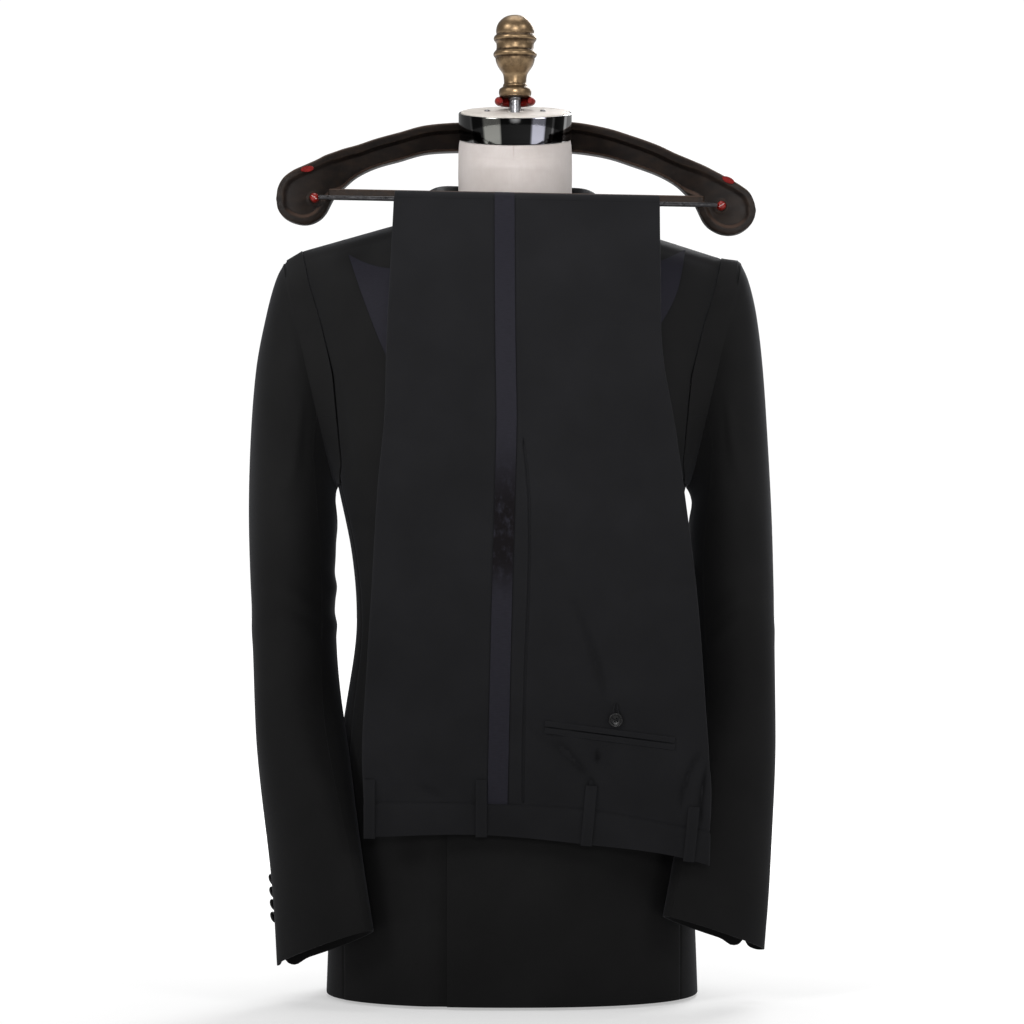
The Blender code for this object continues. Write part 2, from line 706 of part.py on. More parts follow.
def sleeve_grid(side, top):
    """Rows from the armhole down to the cuff, across the top sleeve or the under sleeve."""
    table = armhole(side)
    rings = SLEEVES[side]
    grid = []
    places = [-1, -0.5] + list(np.linspace(0, 4, 7)) + list(np.linspace(5, len(rings) - 1, 9))
    for place in places:
        share = ease(place / (len(rings) - 1))
        hind = HIND_SEAM[side][0] + (HIND_SEAM[side][1] - HIND_SEAM[side][0]) * share
        fore = FORE_SEAM[0] + (FORE_SEAM[1] - FORE_SEAM[0]) * share
        gap = 0.5
        if top:
            angles = columns(hind + gap, fore - gap, 7)
        else:
            angles = columns(fore + gap, hind + 360 - gap, 5)
        row = []
        for angle in angles:
            if place < 0:
                start = armhole_point(table, side, angle)
                end = ring_point(rings[0], side, angle)
                point = start + (end - start) * ease(1 + place)
            else:
                point = ring_point(in_order(rings, place), side, angle)
            row.append(point)
        grid.append(row)
    return grid


# --- trousers ------------------------------------------------------------------------


def rod_rise(x):
    """How much the rod and the fold over it sink toward +X."""
    return ROD_SLOPE * x


def drop_point(x, z, out, behind=False):
    """A point of the folded trousers, out from the inner face of the drop."""
    row = along(DROP, z)
    near = along(DROP, min(z + 0.004, ROD_Z))
    far = along(DROP, max(z - 0.004, 0.13))
    column = "behind" if behind else "front"
    start, end = (getattr(far, column), far.z), (getattr(near, column), near.z)
    length = math.hypot(end[0] - start[0], end[1] - start[1])
    # The outer side is -Y on the front drop and +Y on the drop behind.
    normal_y = -(end[1] - start[1]) / length
    normal_z = (end[0] - start[0]) / length
    if behind:
        normal_y, normal_z = -normal_y, -normal_z
    sink = rod_rise(x) * ease((z - 0.60) / 0.14)
    return Vector((x, getattr(row, column) + normal_y * out, z + normal_z * out + sink))


def core_at(z):
    """The thickness of the hidden layers: thin where they are pressed over the rod."""
    return CORE_DROP + (CORE_FOLD - CORE_DROP) * ease((z - 0.66) / 0.085)


def outer_at(z):
    """How far out the visible layer's inner face lies."""
    return LAYER + 2 * LAYER_GAP + core_at(z)


def over_rod(x, out, turn):
    """A point over the rod: the turn runs from 0 in front to 180 degrees behind."""
    angle = math.radians(turn)
    radius = out + (DROP[-1].behind - DROP[-1].front) / 2
    y = ROD_Y - radius * math.cos(angle)
    return Vector((x, y, ROD_Z + radius * math.sin(angle) + rod_rise(x)))


def edges_behind(z):
    """The crease and the back edge of the lower legs on the drop behind."""
    share = ease((0.76 - z) / (0.76 - HEM_Z))
    return -0.1090 + 0.016 * share, 0.1372 - 0.026 * share


FRONT_STEPS = [0.0, 0.10, 0.25, 0.40, 0.55, 0.68, 0.78, 0.88, 0.95]
ROD_STEPS = [1.0, 1.25, 1.5, 1.75, 2.0]
BEHIND_STEPS = [2.1, 2.28, 2.5, 2.75, 3.0]
PATH = FRONT_STEPS + ROD_STEPS + BEHIND_STEPS


def height_on_path(step, bottom):
    """The z of a step along the fold: 0 to 1 up the front drop, 2 to 3 down behind."""
    if step <= 1:
        return bottom + (ROD_Z - bottom) * step
    if step < 2:
        return ROD_Z
    return ROD_Z + (HEM_Z - ROD_Z) * (step - 2)


def path_point(x, step, out, bottom):
    height = height_on_path(step, bottom)
    if 1 <= step <= 2:
        return over_rod(x, out, (step - 1) * 180)
    return drop_point(x, height, out, behind=step > 2)


def leg_edges(step, bottom):
    """The left edge, the stripe's middle and the right edge at this step."""
    height = height_on_path(step, bottom)
    row = along(LEG, min(height, LEG[-1].z))
    if step <= 1:
        return row.left, row.stripe, row.right
    left, right = edges_behind(height)
    return left, row.stripe if step < 2 else LEG[-1].stripe, right


def rolled_edge(radius, inward):
    """Offsets in from the edge and down from the face, round a folded edge."""
    turns = [math.radians(turn) for turn in (0, 45, 90)]
    steps = [(radius * (1 - math.cos(t)), radius * (1 - math.sin(t))) for t in turns]
    return [(x * inward, down) for x, down in steps]


def leg_panel(name, finish_material, first, last, columns, bottom_at, raised=0.0):
    """A visible panel of the outer leg, from the waistband over the rod to the hem behind.
    first and last are functions of the leg's edges; an edge that is a crease is rolled."""
    roll = 0.0021
    grid = []
    for step in PATH:
        nominal = leg_edges(step, 0.19)
        start, start_rolled = first(*nominal)
        end, end_rolled = last(*nominal)
        places = [(x, 0.0) for x in np.linspace(start, end, columns)]
        if start_rolled:
            places = [(start + dx, down) for dx, down in rolled_edge(roll, 1)] + places[1:]
        if end_rolled:
            places = places[:-1] + [(end + dx, down) for dx, down in rolled_edge(roll, -1)[::-1]]
        row = []
        for x, down in places:
            bottom = bottom_at(x)
            height = height_on_path(step, bottom)
            out = outer_at(height) + LAYER + raised - down
            row.append(path_point(x, step, out, bottom))
        grid.append(row)
    return cloth(name, grid, finish_material, LAYER)


def inner_leg(bottom_at):
    """The other leg's outer panel, innermost on the rod, its folded edges turned outward."""
    roll = 0.0019
    grid = []
    for step in PATH:
        left, _, right = leg_edges(step, 0.19)
        left, right = left + 0.0004, right - 0.0004
        places = [(left + dx, down) for dx, down in rolled_edge(roll, 1)]
        places += [(x, 0.0) for x in np.linspace(left, right, 8)[1:-1]]
        places += [(right + dx, down) for dx, down in rolled_edge(roll, -1)[::-1]]
        grid.append([path_point(x, step, out, bottom_at(x)) for x, out in places])
    return cloth("trousers_inner_leg", grid, WOOL, LAYER, turn=True)


def hidden_layers(bottom_at):
    """The two leg halves between, as one rounded solid, grooved at its edges like layers."""
    inset, notch = 0.0024, 0.0011
    sections = []
    for step in PATH:
        left, _, right = leg_edges(step, 0.19)
        left, right = left + inset, right - inset
        section = []
        profile = [(0.5, 0.0), (0.0, 0.28), (notch / 0.001, 0.5), (0.0, 0.72), (0.5, 1.0)]
        places = [(left + dx * 0.001, share) for dx, share in profile]
        places += [(left + (right - left) * c, 1.0) for c in (0.33, 0.67)]
        places += [(right - dx * 0.001, share) for dx, share in profile[::-1]]
        places += [(left + (right - left) * c, 0.0) for c in (0.67, 0.33)]
        for x, share in places:
            bottom = bottom_at(x)
            thick = core_at(height_on_path(step, bottom))
            section.append(path_point(x, step, LAYER + LAYER_GAP + thick * share, bottom))
        sections.append(section)
    return loft("trousers_hidden_layers", sections, WOOL)


def seam_line(x):
    return along(BAND, x).seam


def edge_line(x):
    return along(BAND, x).edge


def waistband(name, outer):
    """Half the waistband: the wearer's right half outside, or the left half inside."""
    roll = 0.0021
    grid = []
    for share in (0.0, 0.33, 0.67, 1.0):
        row = []
        nominal = edge_line(0) + share * (seam_line(0) - edge_line(0))
        left, _, right = leg_edges(0, nominal)
        left, right = left - 0.0004, right + 0.0004
        places = [(left + dx, down) for dx, down in rolled_edge(roll, 1)]
        places += [(x, 0.0) for x in np.linspace(left, right, 9)[1:-1]]
        places += [(right + dx, down) for dx, down in rolled_edge(roll, -1)[::-1]]
        for x, down in places:
            z = edge_line(x) + share * (seam_line(x) - SEAM - edge_line(x))
            face = outer_at(z) + LAYER + 0.0006 - down if outer else down
            row.append(drop_point(x, z, face))
        grid.append(row)
    return cloth(name, grid, WOOL, LAYER, turn=not outer)


def on_leg(x, z, out):
    """A point of the front drop's visible face, moved out."""
    return drop_point(x, z, outer_at(z) + LAYER + out)


def strip(name, start, end, width, rise, thick, finish_material, rows=5):
    """A narrow piece laid on the front drop, from one point (x, z) to another."""
    start, end = np.array(start), np.array(end)
    run = (end - start) / np.linalg.norm(end - start)
    across = np.array((run[1], -run[0])) * width / 2
    grid = []
    for share in np.linspace(0, 1, rows):
        middle = start + (end - start) * share
        ends = sorted((tuple(middle - across), tuple(middle + across)))
        grid.append([on_leg(x, z, rise + thick) for x, z in ends])
    turn = (end - start)[1] < 0 or abs(run[0]) > abs(run[1])
    return cloth(name, grid, finish_material, thick, turn=turn)


def make_trousers():
    half = STRIPE / 2
    gap = SEAM / 2

    def legs_bottom(x):
        return seam_line(x) + SEAM / 2

    def hidden_bottom(x):
        return edge_line(x) + 0.003

    leg_panel(
        "trousers_right_front", WOOL,
        lambda left, stripe, right: (left, True),
        lambda left, stripe, right: (stripe - half - gap, False), 8, legs_bottom,
    )
    leg_panel(
        "trousers_side_stripe", SATIN,
        lambda left, stripe, right: (stripe - half + gap, False),
        lambda left, stripe, right: (stripe + half - gap, False), 3, legs_bottom, 0.0003,
    )
    leg_panel(
        "trousers_right_back", WOOL,
        lambda left, stripe, right: (stripe + half + gap, False),
        lambda left, stripe, right: (right, True), 9, legs_bottom,
    )
    hidden_layers(hidden_bottom)
    inner_leg(legs_bottom)
    waistband("trousers_waistband_right", outer=True)
    waistband("trousers_waistband_left", outer=False)
    for number, loop in enumerate(LOOPS, 1):
        top, bottom = (loop.top_x, loop.top_z), (loop.bottom_x, loop.bottom_z)
        strip(f"belt_loop_{number}", bottom, top, LOOP_WIDTH, 0.0012, 0.0012, WOOL)
    start, end = np.array(POCKET[0]), np.array(POCKET[1])
    upward = np.array((0, JET / 2 + 0.0004))
    strip("hip_pocket_jet_upper", start + upward, end + upward, JET, LAY, 0.0010, WOOL, 7)
    strip("hip_pocket_jet_lower", start - upward, end - upward, JET, LAY, 0.0010, WOOL, 7)
    middle = (start + end) / 2 + np.array((0.0055, 0.0140))
    face = on_leg(middle[0], middle[1], LAY)
    disc("hip_pocket_button", face, (0, -1, 0), POCKET_BUTTON / 2, BUTTON_THICK, HORN)
    loop_start = (middle[0], middle[1] + POCKET_BUTTON / 2 + 0.0006)
    loop_end = (middle[0], middle[1] + POCKET_BUTTON / 2 + 0.0086)
    strip("hip_pocket_loop", loop_start, loop_end, 0.0030, LAY, 0.0010, WOOL, 3)


# --- jacket ----------------------------------------------------------------------------


def outward(point_at, angle, place):
    """The way out of a surface given as a function of an angle and a place along it."""
    across = point_at(angle + 1, place) - point_at(angle - 1, place)
    onward = point_at(angle, place + 0.05) - point_at(angle, place - 0.05)
    return across.cross(onward).normalized()


def cuff_buttons(side):
    rings = SLEEVES[side]
    angle = HIND_SEAM[side][1] + 9

    def point_at(at, place):
        return ring_point(in_order(rings, place), side, at)

    for number in range(4):
        target = CUFF_BUTTON_TOP - number * CUFF_BUTTON_PITCH
        low, high = 7.0, len(rings) - 1.06
        for _ in range(30):
            place = (low + high) / 2
            if point_at(angle, place).z > target:
                low = place
            else:
                high = place
        face = point_at(angle, place)
        middle = in_order(rings, place)
        centre = Vector((side * (middle.outer_x + middle.inner_x) / 2, middle.outer_y / 2
                         + middle.inner_y / 2, face.z))
        facing = outward(point_at, angle, place)
        if facing.dot(face - centre) < 0:
            facing = -facing
        name = f"cuff_button_{'right' if side < 0 else 'left'}_{number + 1}"
        disc(name, face + facing * LAY, facing, CUFF_BUTTON / 2, BUTTON_THICK, HORN)


def make_jacket():
    for side, word in ((-1, "right"), (1, "left")):
        cloth(f"jacket_back_{word}", back_panel(side), WOOL)
        cloth(f"jacket_side_{word}", side_panel(side), WOOL)
        cloth(f"jacket_front_{word}", front_panel(side), WOOL)
        cloth(f"jacket_lapel_{word}", lapel_grid(side), SATIN)
        cloth(f"jacket_top_sleeve_{word}", sleeve_grid(side, True), WOOL, turn=side < 0)
        cloth(f"jacket_under_sleeve_{word}", sleeve_grid(side, False), WOOL, turn=side < 0)
        cuff_buttons(side)
    cloth("jacket_collar", collar_grid(), WOOL, turn=False)
    for number, x in enumerate((OVER_EDGE + 0.016, -OVER_EDGE - 0.004), 1):
        face = on_front(x, BREAK - 0.025, LAY)
        facing = on_front(x, BREAK - 0.025, 0.01) - face
        disc(f"front_button_{number}", face, facing, FRONT_BUTTON / 2, BUTTON_THICK, HORN)


# --- dress form ------------------------------------------------------------------------


def tilted(x, y, z):
    """A place in the neck fittings' own frame, which leans forward."""
    turned_y = y * math.cos(NECK_TILT) - z * math.sin(NECK_TILT)
    turned_z = y * math.sin(NECK_TILT) + z * math.cos(NECK_TILT)
    return Vector((NECK_X + x, NECK_Y + turned_y, RING_Z + turned_z))


def make_torso():
    sections = []
    heights = list(np.linspace(FORM[0].z, 0.66, 13)) + [row.z for row in FORM[8:]]
    angles = np.linspace(0, 2 * math.pi, 32, endpoint=False)
    for height in heights:
        row = along(FORM, height)
        section = []
        power = BODY_POWER if height < 0.70 else 2.0
        for angle in angles:
            sine, cosine = math.sin(angle), math.cos(angle)
            reach = (abs(sine) ** power + abs(cosine) ** power) ** (-1 / power)
            depth = row.front if cosine > 0 else row.back
            shift = NECK_X * ease((height - 0.66) / 0.08)
            x = row.half * sine * reach
            lean = LEAN * x * ease((height - ARMPIT) / (SHOULDER - ARMPIT))
            section.append(Vector((x + shift, -depth * cosine * reach, height - lean)))
        sections.append(section)
    low = -RING_HEIGHT / 2 - 0.0004
    for radius, z in ((NECK_RADIUS + 0.0002, low - 0.012), (NECK_RADIUS - 0.0008, low)):
        sections.append([tilted(radius * math.sin(a), -radius * math.cos(a), z) for a in angles])
    loft("form_torso", sections, LINEN)


def neck_disc(name, radius, low, high, finish_material, sides=48):
    """A flat disc of the neck fittings, with a hole for the post."""
    bpy.ops.mesh.primitive_cylinder_add(vertices=sides, radius=radius, depth=high - low)
    obj = bpy.context.active_object
    obj.name = name
    obj.location = tilted(0, 0, (low + high) / 2)
    obj.rotation_euler = (NECK_TILT, 0, 0)
    hole = obj.modifiers.new("post_hole", "BOOLEAN")
    hole.operation = "DIFFERENCE"
    hole.object = bpy.data.objects["post_cutter"]
    return finish(obj, finish_material)


def make_form():
    bpy.ops.mesh.primitive_cylinder_add(vertices=48, radius=1, depth=BASE_THICK)
    base = bpy.context.active_object
    base.name = "form_base"
    base.scale = (*BASE_HALVES, 1)
    base.location = (0, BASE_Y, BASE_THICK / 2)
    bpy.ops.object.transform_apply(location=False, rotation=False, scale=True)
    finish(base, BROWN)
    make_torso()
    bpy.ops.mesh.primitive_cylinder_add(vertices=32, radius=POST_RADIUS + GAP, depth=0.06)
    cutter = bpy.context.active_object
    cutter.name = "post_cutter"
    cutter.location = (NECK_X, 0, POST_BOTTOM - GAP + 0.03)
    cutter.hide_render = True
    cutter.display_type = "WIRE"
    for collection in list(cutter.users_collection):
        collection.objects.unlink(cutter)
    CUTTERS.objects.link(cutter)
    top = RING_HEIGHT / 2
    neck_disc("neck_ring", NECK_RADIUS, -top, top, CHROME)
    neck_disc("neck_cap", NECK_RADIUS - 0.0030, top + GAP, top + GAP + CAP_THICK, CREAM)
    up = tilted(0, 0, 1) - tilted(0, 0, 0)
    for number, x in enumerate(CAP_SCREWS, 1):
        place = tilted(x, 0.004, top + 0.0040)
        disc(f"cap_screw_{number}", place, up, 0.0032, 0.0014, STEEL, 16)
    bpy.ops.mesh.primitive_cylinder_add(
        vertices=32, radius=POST_RADIUS, depth=FINIAL_FOOT - GAP - POST_BOTTOM
    )
    post = bpy.context.active_object
    post.name = "neck_post"
    post.location = (NECK_X, 0, (FINIAL_FOOT - GAP + POST_BOTTOM) / 2)
    finish(post, STEEL)
    finial = turned("finial", [(radius, FINIAL_FOOT + z) for radius, z in FINIAL], BRASS)
    finial.location = (NECK_X, 0, 0)


# --- hanger ----------------------------------------------------------------------------


def arm_middle(x):
    """The y of the hanger's middle: behind the neck, then forward to its ends."""
    return ARM_BACK_Y - ARM_SWEEP * min(abs(x) / ARM_REACH, 1) ** SWEEP_POWER


def arm_section(side, row):
    """A channel open to the front: a web at the back and a flange above and below."""
    x = side * row.x
    front = arm_middle(x) - HANGER_DEPTH / 2
    back = arm_middle(x) + HANGER_DEPTH / 2
    flange = min(HANGER_WALL, (row.top - row.bottom) * 0.3)
    web = back - HANGER_WALL
    outline = [
        (front, row.top), (back, row.top), (back, row.bottom), (front, row.bottom),
        (front, row.bottom + flange), (web, row.bottom + flange),
        (web, row.top - flange), (front, row.top - flange),
    ]
    return [Vector((x, y, z)) for y, z in outline]


def make_hanger():
    left = [arm_section(-1, row) for row in ARMS[-1][::-1]]
    right = [arm_section(1, row) for row in ARMS[1][1:]]
    body_obj = loft("hanger_body", left + right, BROWN, turn=True)
    tip_left, tip_right = ARMS[-1][-6].x, ARMS[1][-6].x
    bpy.ops.mesh.primitive_cube_add(size=1)
    bar = bpy.context.active_object
    bar.name = "bar_shape"
    bar.scale = (tip_left + tip_right, BAR_THICK, BAR_HEIGHT)
    bar.location = ((tip_right - tip_left) / 2, BAR_Y, ROD_Z + BAR_LIFT)
    bar.rotation_euler = (0, -math.atan(ROD_SLOPE), 0)
    bpy.ops.object.transform_apply(location=False, rotation=False, scale=True)
    bar.hide_render = True
    bar.display_type = "WIRE"
    for collection in list(bar.users_collection):
        collection.objects.unlink(bar)
    CUTTERS.objects.link(bar)
    join = body_obj.modifiers.new("bar", "BOOLEAN")
    join.operation = "UNION"
    join.object = bar
    face = arm_middle(1) - HANGER_DEPTH / 2 - 0.0003
    for side, (x, z) in ROD_SCREWS.items():
        word = "left" if side > 0 else "right"
        place = (x, face, z)
        disc(f"rod_screw_{word}", place, (0, -1, 0), ROD_SCREW_RADIUS, ROD_SCREW_LENGTH, RED)
        dot_x, dot_z = DOTS[side]
        disc(f"size_dot_{word}", (dot_x, face, dot_z), (0, -1, 0), DOT_RADIUS, DOT_THICK, RED)
    clear = ROD_SCREW_RADIUS + 0.0005
    ends = []
    for side, (x, _) in ROD_SCREWS.items():
        ends.append((x - clear * side, ROD_Y, ROD_Z + rod_rise(x)))
    tube("hanger_rod", ends, ROD_RADIUS, STEEL)
    arc = []
    for turn in np.linspace(200, -20, 19):
        angle = math.radians(turn)
        y = HOOK_RADIUS * math.sin(angle)
        x = NECK_X + HOOK_RADIUS * math.cos(angle)
        arc.append((x, y, HOOK_Z))
    tube("hanger_hook", arc, HOOK_TUBE, RED)
    tube("hanger_stem", [(NECK_X, y, z) for y, z in STEM], STEM_TUBE, RED)


make_form()
make_hanger()
make_jacket()
make_trousers()
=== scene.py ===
"""Looks of the tuxedo on its dress form, with the trousers folded over the hanger's rod.

Each cloth panel is a thin shell on its solid's form: a grid of points worked out from the
same tables, with seams, creases and rolled edges, and its own cloth lengths as UV. Metres.
"""

from collections import namedtuple
import math

import bpy
from mathutils import Matrix, Vector
import numpy as np


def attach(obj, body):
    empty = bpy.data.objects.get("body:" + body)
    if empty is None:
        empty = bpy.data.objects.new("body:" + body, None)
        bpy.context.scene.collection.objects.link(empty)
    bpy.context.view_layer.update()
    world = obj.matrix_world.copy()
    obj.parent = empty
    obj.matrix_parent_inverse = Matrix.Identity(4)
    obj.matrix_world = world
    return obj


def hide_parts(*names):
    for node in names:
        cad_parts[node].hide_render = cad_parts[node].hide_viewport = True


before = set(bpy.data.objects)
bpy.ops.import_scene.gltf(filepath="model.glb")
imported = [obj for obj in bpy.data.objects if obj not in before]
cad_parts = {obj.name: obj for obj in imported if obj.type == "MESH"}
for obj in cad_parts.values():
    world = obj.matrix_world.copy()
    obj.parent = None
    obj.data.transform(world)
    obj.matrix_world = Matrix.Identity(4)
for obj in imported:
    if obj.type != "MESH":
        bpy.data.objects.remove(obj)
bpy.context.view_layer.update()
RANDOM = np.random.default_rng(12)

# --- sizes ---------------------------------------------------------------------------

WALL = 0.0014
TROUSER_WALL = 0.0010
LAPEL_RISE = 0.0019
LAPEL_WALL = 0.0016

ARMPIT = 0.487
BREAK = 0.410
SHOULDER = 0.763
OVER_EDGE = -0.060
UNDER_EDGE = 0.055
NECK_EDGE = 0.068
LEAN = 0.018
TUCK = 0.0032
BODY_POWER = 2.4

NECK_X = 0.003
NECK_Y = -0.008
RING_Z = 0.8277
NECK_RADIUS = 0.054
NECK_TILT = math.radians(12)
RING_HEIGHT = 0.0235
POST_RADIUS = 0.0067
FINIAL_FOOT = 0.857
HOOK_Z = 0.8531

ROD_Y = -0.099
ROD_Z = 0.7490
ROD_SLOPE = -0.0195
LAYER = 0.0013
LAYER_GAP = 0.0005
CORE_FOLD = 0.0016
CORE_DROP = 0.0042
STRIPE = 0.0185
HEM_Z = 0.300
FRONT_RUN = 0.557
BACK_RUN = 0.449
BODY_RUN = 0.484

Body = namedtuple("Body", "level side_z half front back")
BODY = [
    Body(0.003, 0.003, 0.1772, 0.126, 0.130),
    Body(0.080, 0.080, 0.1742, 0.124, 0.130),
    Body(0.170, 0.170, 0.1685, 0.119, 0.127),
    Body(0.260, 0.260, 0.1605, 0.111, 0.119),
    Body(0.355, 0.355, 0.1485, 0.101, 0.101),
    Body(0.420, 0.420, 0.1530, 0.104, 0.104),
    Body(0.475, 0.475, 0.1640, 0.109, 0.114),
    Body(0.530, 0.528, 0.1760, 0.112, 0.122),
    Body(0.600, 0.588, 0.1860, 0.109, 0.126),
    Body(0.660, 0.635, 0.1930, 0.098, 0.122),
    Body(0.710, 0.672, 0.1985, 0.075, 0.103),
    Body(0.742, 0.694, 0.2020, 0.045, 0.070),
    Body(0.757, 0.702, 0.2035, 0.022, 0.036),
    Body(0.763, 0.705, 0.2040, 0.000, 0.000),
]
Edge = namedtuple("Edge", "level x")
ARMHOLE = [
    Edge(0.487, 0.1590), Edge(0.530, 0.1630), Edge(0.600, 0.1690), Edge(0.660, 0.1810),
    Edge(0.710, 0.1930), Edge(0.742, 0.1980), Edge(0.757, 0.2000), Edge(0.763, 0.2005),
]
BACK_NECK = [
    Edge(0.003, 0.0), Edge(0.738, 0.0), Edge(0.747, 0.030), Edge(0.755, 0.052),
    Edge(0.763, NECK_EDGE),
]
FRONT_SEAM = [Edge(0.003, 58), Edge(0.487, 72)]
BACK_SEAM = [Edge(0.003, 120), Edge(0.487, 108)]

Form = namedtuple("Form", "z half front back")
FORM = [
    Form(0.016, 0.150, 0.100, 0.108),
    Form(0.120, 0.150, 0.104, 0.112),
    Form(0.240, 0.146, 0.098, 0.108),
    Form(0.350, 0.134, 0.088, 0.088),
    Form(0.430, 0.143, 0.095, 0.094),
    Form(0.520, 0.156, 0.102, 0.110),
    Form(0.600, 0.166, 0.097, 0.112),
    Form(0.660, 0.172, 0.082, 0.098),
    Form(0.692, 0.166, 0.060, 0.072),
    Form(0.704, 0.136, 0.046, 0.054),
    Form(0.720, 0.092, 0.046, 0.046),
    Form(0.738, 0.061, 0.052, 0.044),
    Form(0.760, 0.0550, 0.060, 0.045),
    Form(0.785, 0.0545, 0.062, 0.046),
]

Ring = namedtuple("Ring", "outer_x outer_y outer_z inner_x inner_y inner_z depth")
SLEEVES = {
    -1: [
        Ring(0.2190, 0.009, 0.7005, 0.1685, 0.009, 0.4835, 0.055),
        Ring(0.2250, 0.010, 0.6840, 0.1700, 0.010, 0.4795, 0.059),
        Ring(0.2338, 0.010, 0.6500, 0.1705, 0.009, 0.4735, 0.062),
        Ring(0.2442, 0.009, 0.5950, 0.1705, 0.008, 0.4650, 0.063),
        Ring(0.2488, 0.008, 0.5200, 0.1700, 0.005, 0.4450, 0.062),
        Ring(0.2495, 0.005, 0.4400, 0.1705, 0.000, 0.4150, 0.059),
        Ring(0.2457, 0.001, 0.3550, 0.1710, -0.011, 0.3550, 0.053),
        Ring(0.2375, -0.012, 0.2750, 0.1685, -0.042, 0.2830, 0.047),
        Ring(0.2280, -0.037, 0.1950, 0.1570, -0.094, 0.2100, 0.0355),
        Ring(0.2205, -0.050, 0.1150, 0.1440, -0.115, 0.1400, 0.0275),
        Ring(0.2170, -0.055, 0.0340, 0.1315, -0.124, 0.0737, 0.0235),
    ],
    1: [
        Ring(0.2195, 0.009, 0.7015, 0.1685, 0.009, 0.4835, 0.055),
        Ring(0.2255, 0.010, 0.6830, 0.1710, 0.010, 0.4795, 0.059),
        Ring(0.2330, 0.010, 0.6480, 0.1730, 0.009, 0.4735, 0.062),
        Ring(0.2392, 0.009, 0.5950, 0.1740, 0.008, 0.4650, 0.063),
        Ring(0.2440, 0.008, 0.5200, 0.1720, 0.005, 0.4450, 0.062),
        Ring(0.2470, 0.005, 0.4400, 0.1715, 0.000, 0.4150, 0.059),
        Ring(0.2478, 0.001, 0.3550, 0.1740, -0.011, 0.3550, 0.053),
        Ring(0.2445, -0.010, 0.2750, 0.1760, -0.036, 0.2830, 0.047),
        Ring(0.2413, -0.033, 0.1950, 0.1690, -0.078, 0.2100, 0.036),
        Ring(0.2385, -0.045, 0.1150, 0.1560, -0.100, 0.1450, 0.029),
        Ring(0.2340, -0.051, 0.0480, 0.1430, -0.114, 0.0860, 0.024),
    ],
}
ARM_CENTRE_Y = 0.005
ARM_CENTRE_Z = 0.594
ARM_HALF_Y = 0.060
ARM_HALF_Z = 0.109
HIND_SEAM = {-1: (-95.0, -8.0), 1: (-95.0, -34.0)}
FORE_SEAM = (112.0, 168.0)

Lapel = namedtuple("Lapel", "inner_x inner_z mid_x mid_z outer_x outer_z")
LAPELS = {
    -1: [
        Lapel(-0.0450, 0.4650, -0.0475, 0.4660, -0.0500, 0.4670),
        Lapel(-0.0340, 0.5050, -0.0500, 0.5060, -0.0660, 0.5080),
        Lapel(-0.0120, 0.5650, -0.0530, 0.5640, -0.0950, 0.5620),
        Lapel(-0.0240, 0.6250, -0.0700, 0.6190, -0.1200, 0.6150),
        Lapel(-0.0470, 0.6950, -0.0850, 0.6650, -0.1380, 0.6600),
        Lapel(-0.0640, 0.7310, -0.0865, 0.6590, -0.1530, 0.7008),
    ],
    1: [
        Lapel(-0.0580, 0.4170, -0.0555, 0.4170, -0.0530, 0.4170),
        Lapel(-0.0300, 0.4950, 0.0060, 0.4900, 0.0440, 0.4850),
        Lapel(-0.0050, 0.5650, 0.0440, 0.5620, 0.0930, 0.5600),
        Lapel(0.0180, 0.6250, 0.0700, 0.6190, 0.1250, 0.6150),
        Lapel(0.0430, 0.6950, 0.0880, 0.6680, 0.1510, 0.6600),
        Lapel(0.0640, 0.7310, 0.0833, 0.6585, 0.1635, 0.7064),
    ],
}
Collar = namedtuple("Collar", "stand_x stand_y stand_z fold_x fold_y fold_z edge_x edge_y")
COLLAR = [
    Collar(0.000, 0.0580, 0.7570, 0.000, 0.0640, 0.7900, 0.000, 0.0790),
    Collar(0.038, 0.0500, 0.7560, 0.042, 0.0540, 0.7880, 0.058, 0.0640),
    Collar(0.060, 0.0240, 0.7540, 0.063, 0.0280, 0.7840, 0.093, 0.0280),
    Collar(0.066, -0.0080, 0.7520, 0.069, -0.0100, 0.7740, 0.104, -0.0140),
    Collar(0.068, -0.0360, 0.7500, 0.072, -0.0400, 0.7600, 0.107, -0.0500),
    Collar(0.067, -0.0530, 0.7450, 0.071, -0.0580, 0.7500, 0.100, -0.0625),
]

Leg = namedtuple("Leg", "z left stripe right")
LEG = [
    Leg(0.134, -0.1345, -0.0150, 0.1803),
    Leg(0.190, -0.1362, -0.0134, 0.1818),
    Leg(0.2325, -0.1378, -0.0125, 0.1821),
    Leg(0.306, -0.1340, -0.0110, 0.1775),
    Leg(0.388, -0.1290, -0.0090, 0.1711),
    Leg(0.489, -0.1228, -0.0062, 0.1583),
    Leg(0.544, -0.1175, -0.0050, 0.1500),
    Leg(0.610, -0.1158, -0.0060, 0.1385),
    Leg(0.680, -0.1125, -0.0066, 0.1372),
    Leg(0.765, -0.1090, -0.0069, 0.1372),
]
Drop = namedtuple("Drop", "z front behind")
DROP = [
    Drop(0.130, -0.1300, -0.1280),
    Drop(0.400, -0.1306, -0.1286),
    Drop(0.520, -0.1306, -0.1286),
    Drop(0.580, -0.1292, -0.1268),
    Drop(0.630, -0.1252, -0.1214),
    Drop(0.670, -0.1188, -0.1142),
    Drop(0.700, -0.1128, -0.1078),
    Drop(0.730, -0.1056, -0.1004),
    Drop(0.749, -0.1014, -0.0966),
]
Band = namedtuple("Band", "x seam edge")
BAND = [
    Band(-0.140, 0.1940, 0.1615),
    Band(-0.020, 0.1920, 0.1632),
    Band(0.062, 0.1875, 0.1554),
    Band(0.163, 0.1700, 0.1407),
    Band(0.185, 0.1660, 0.1343),
]
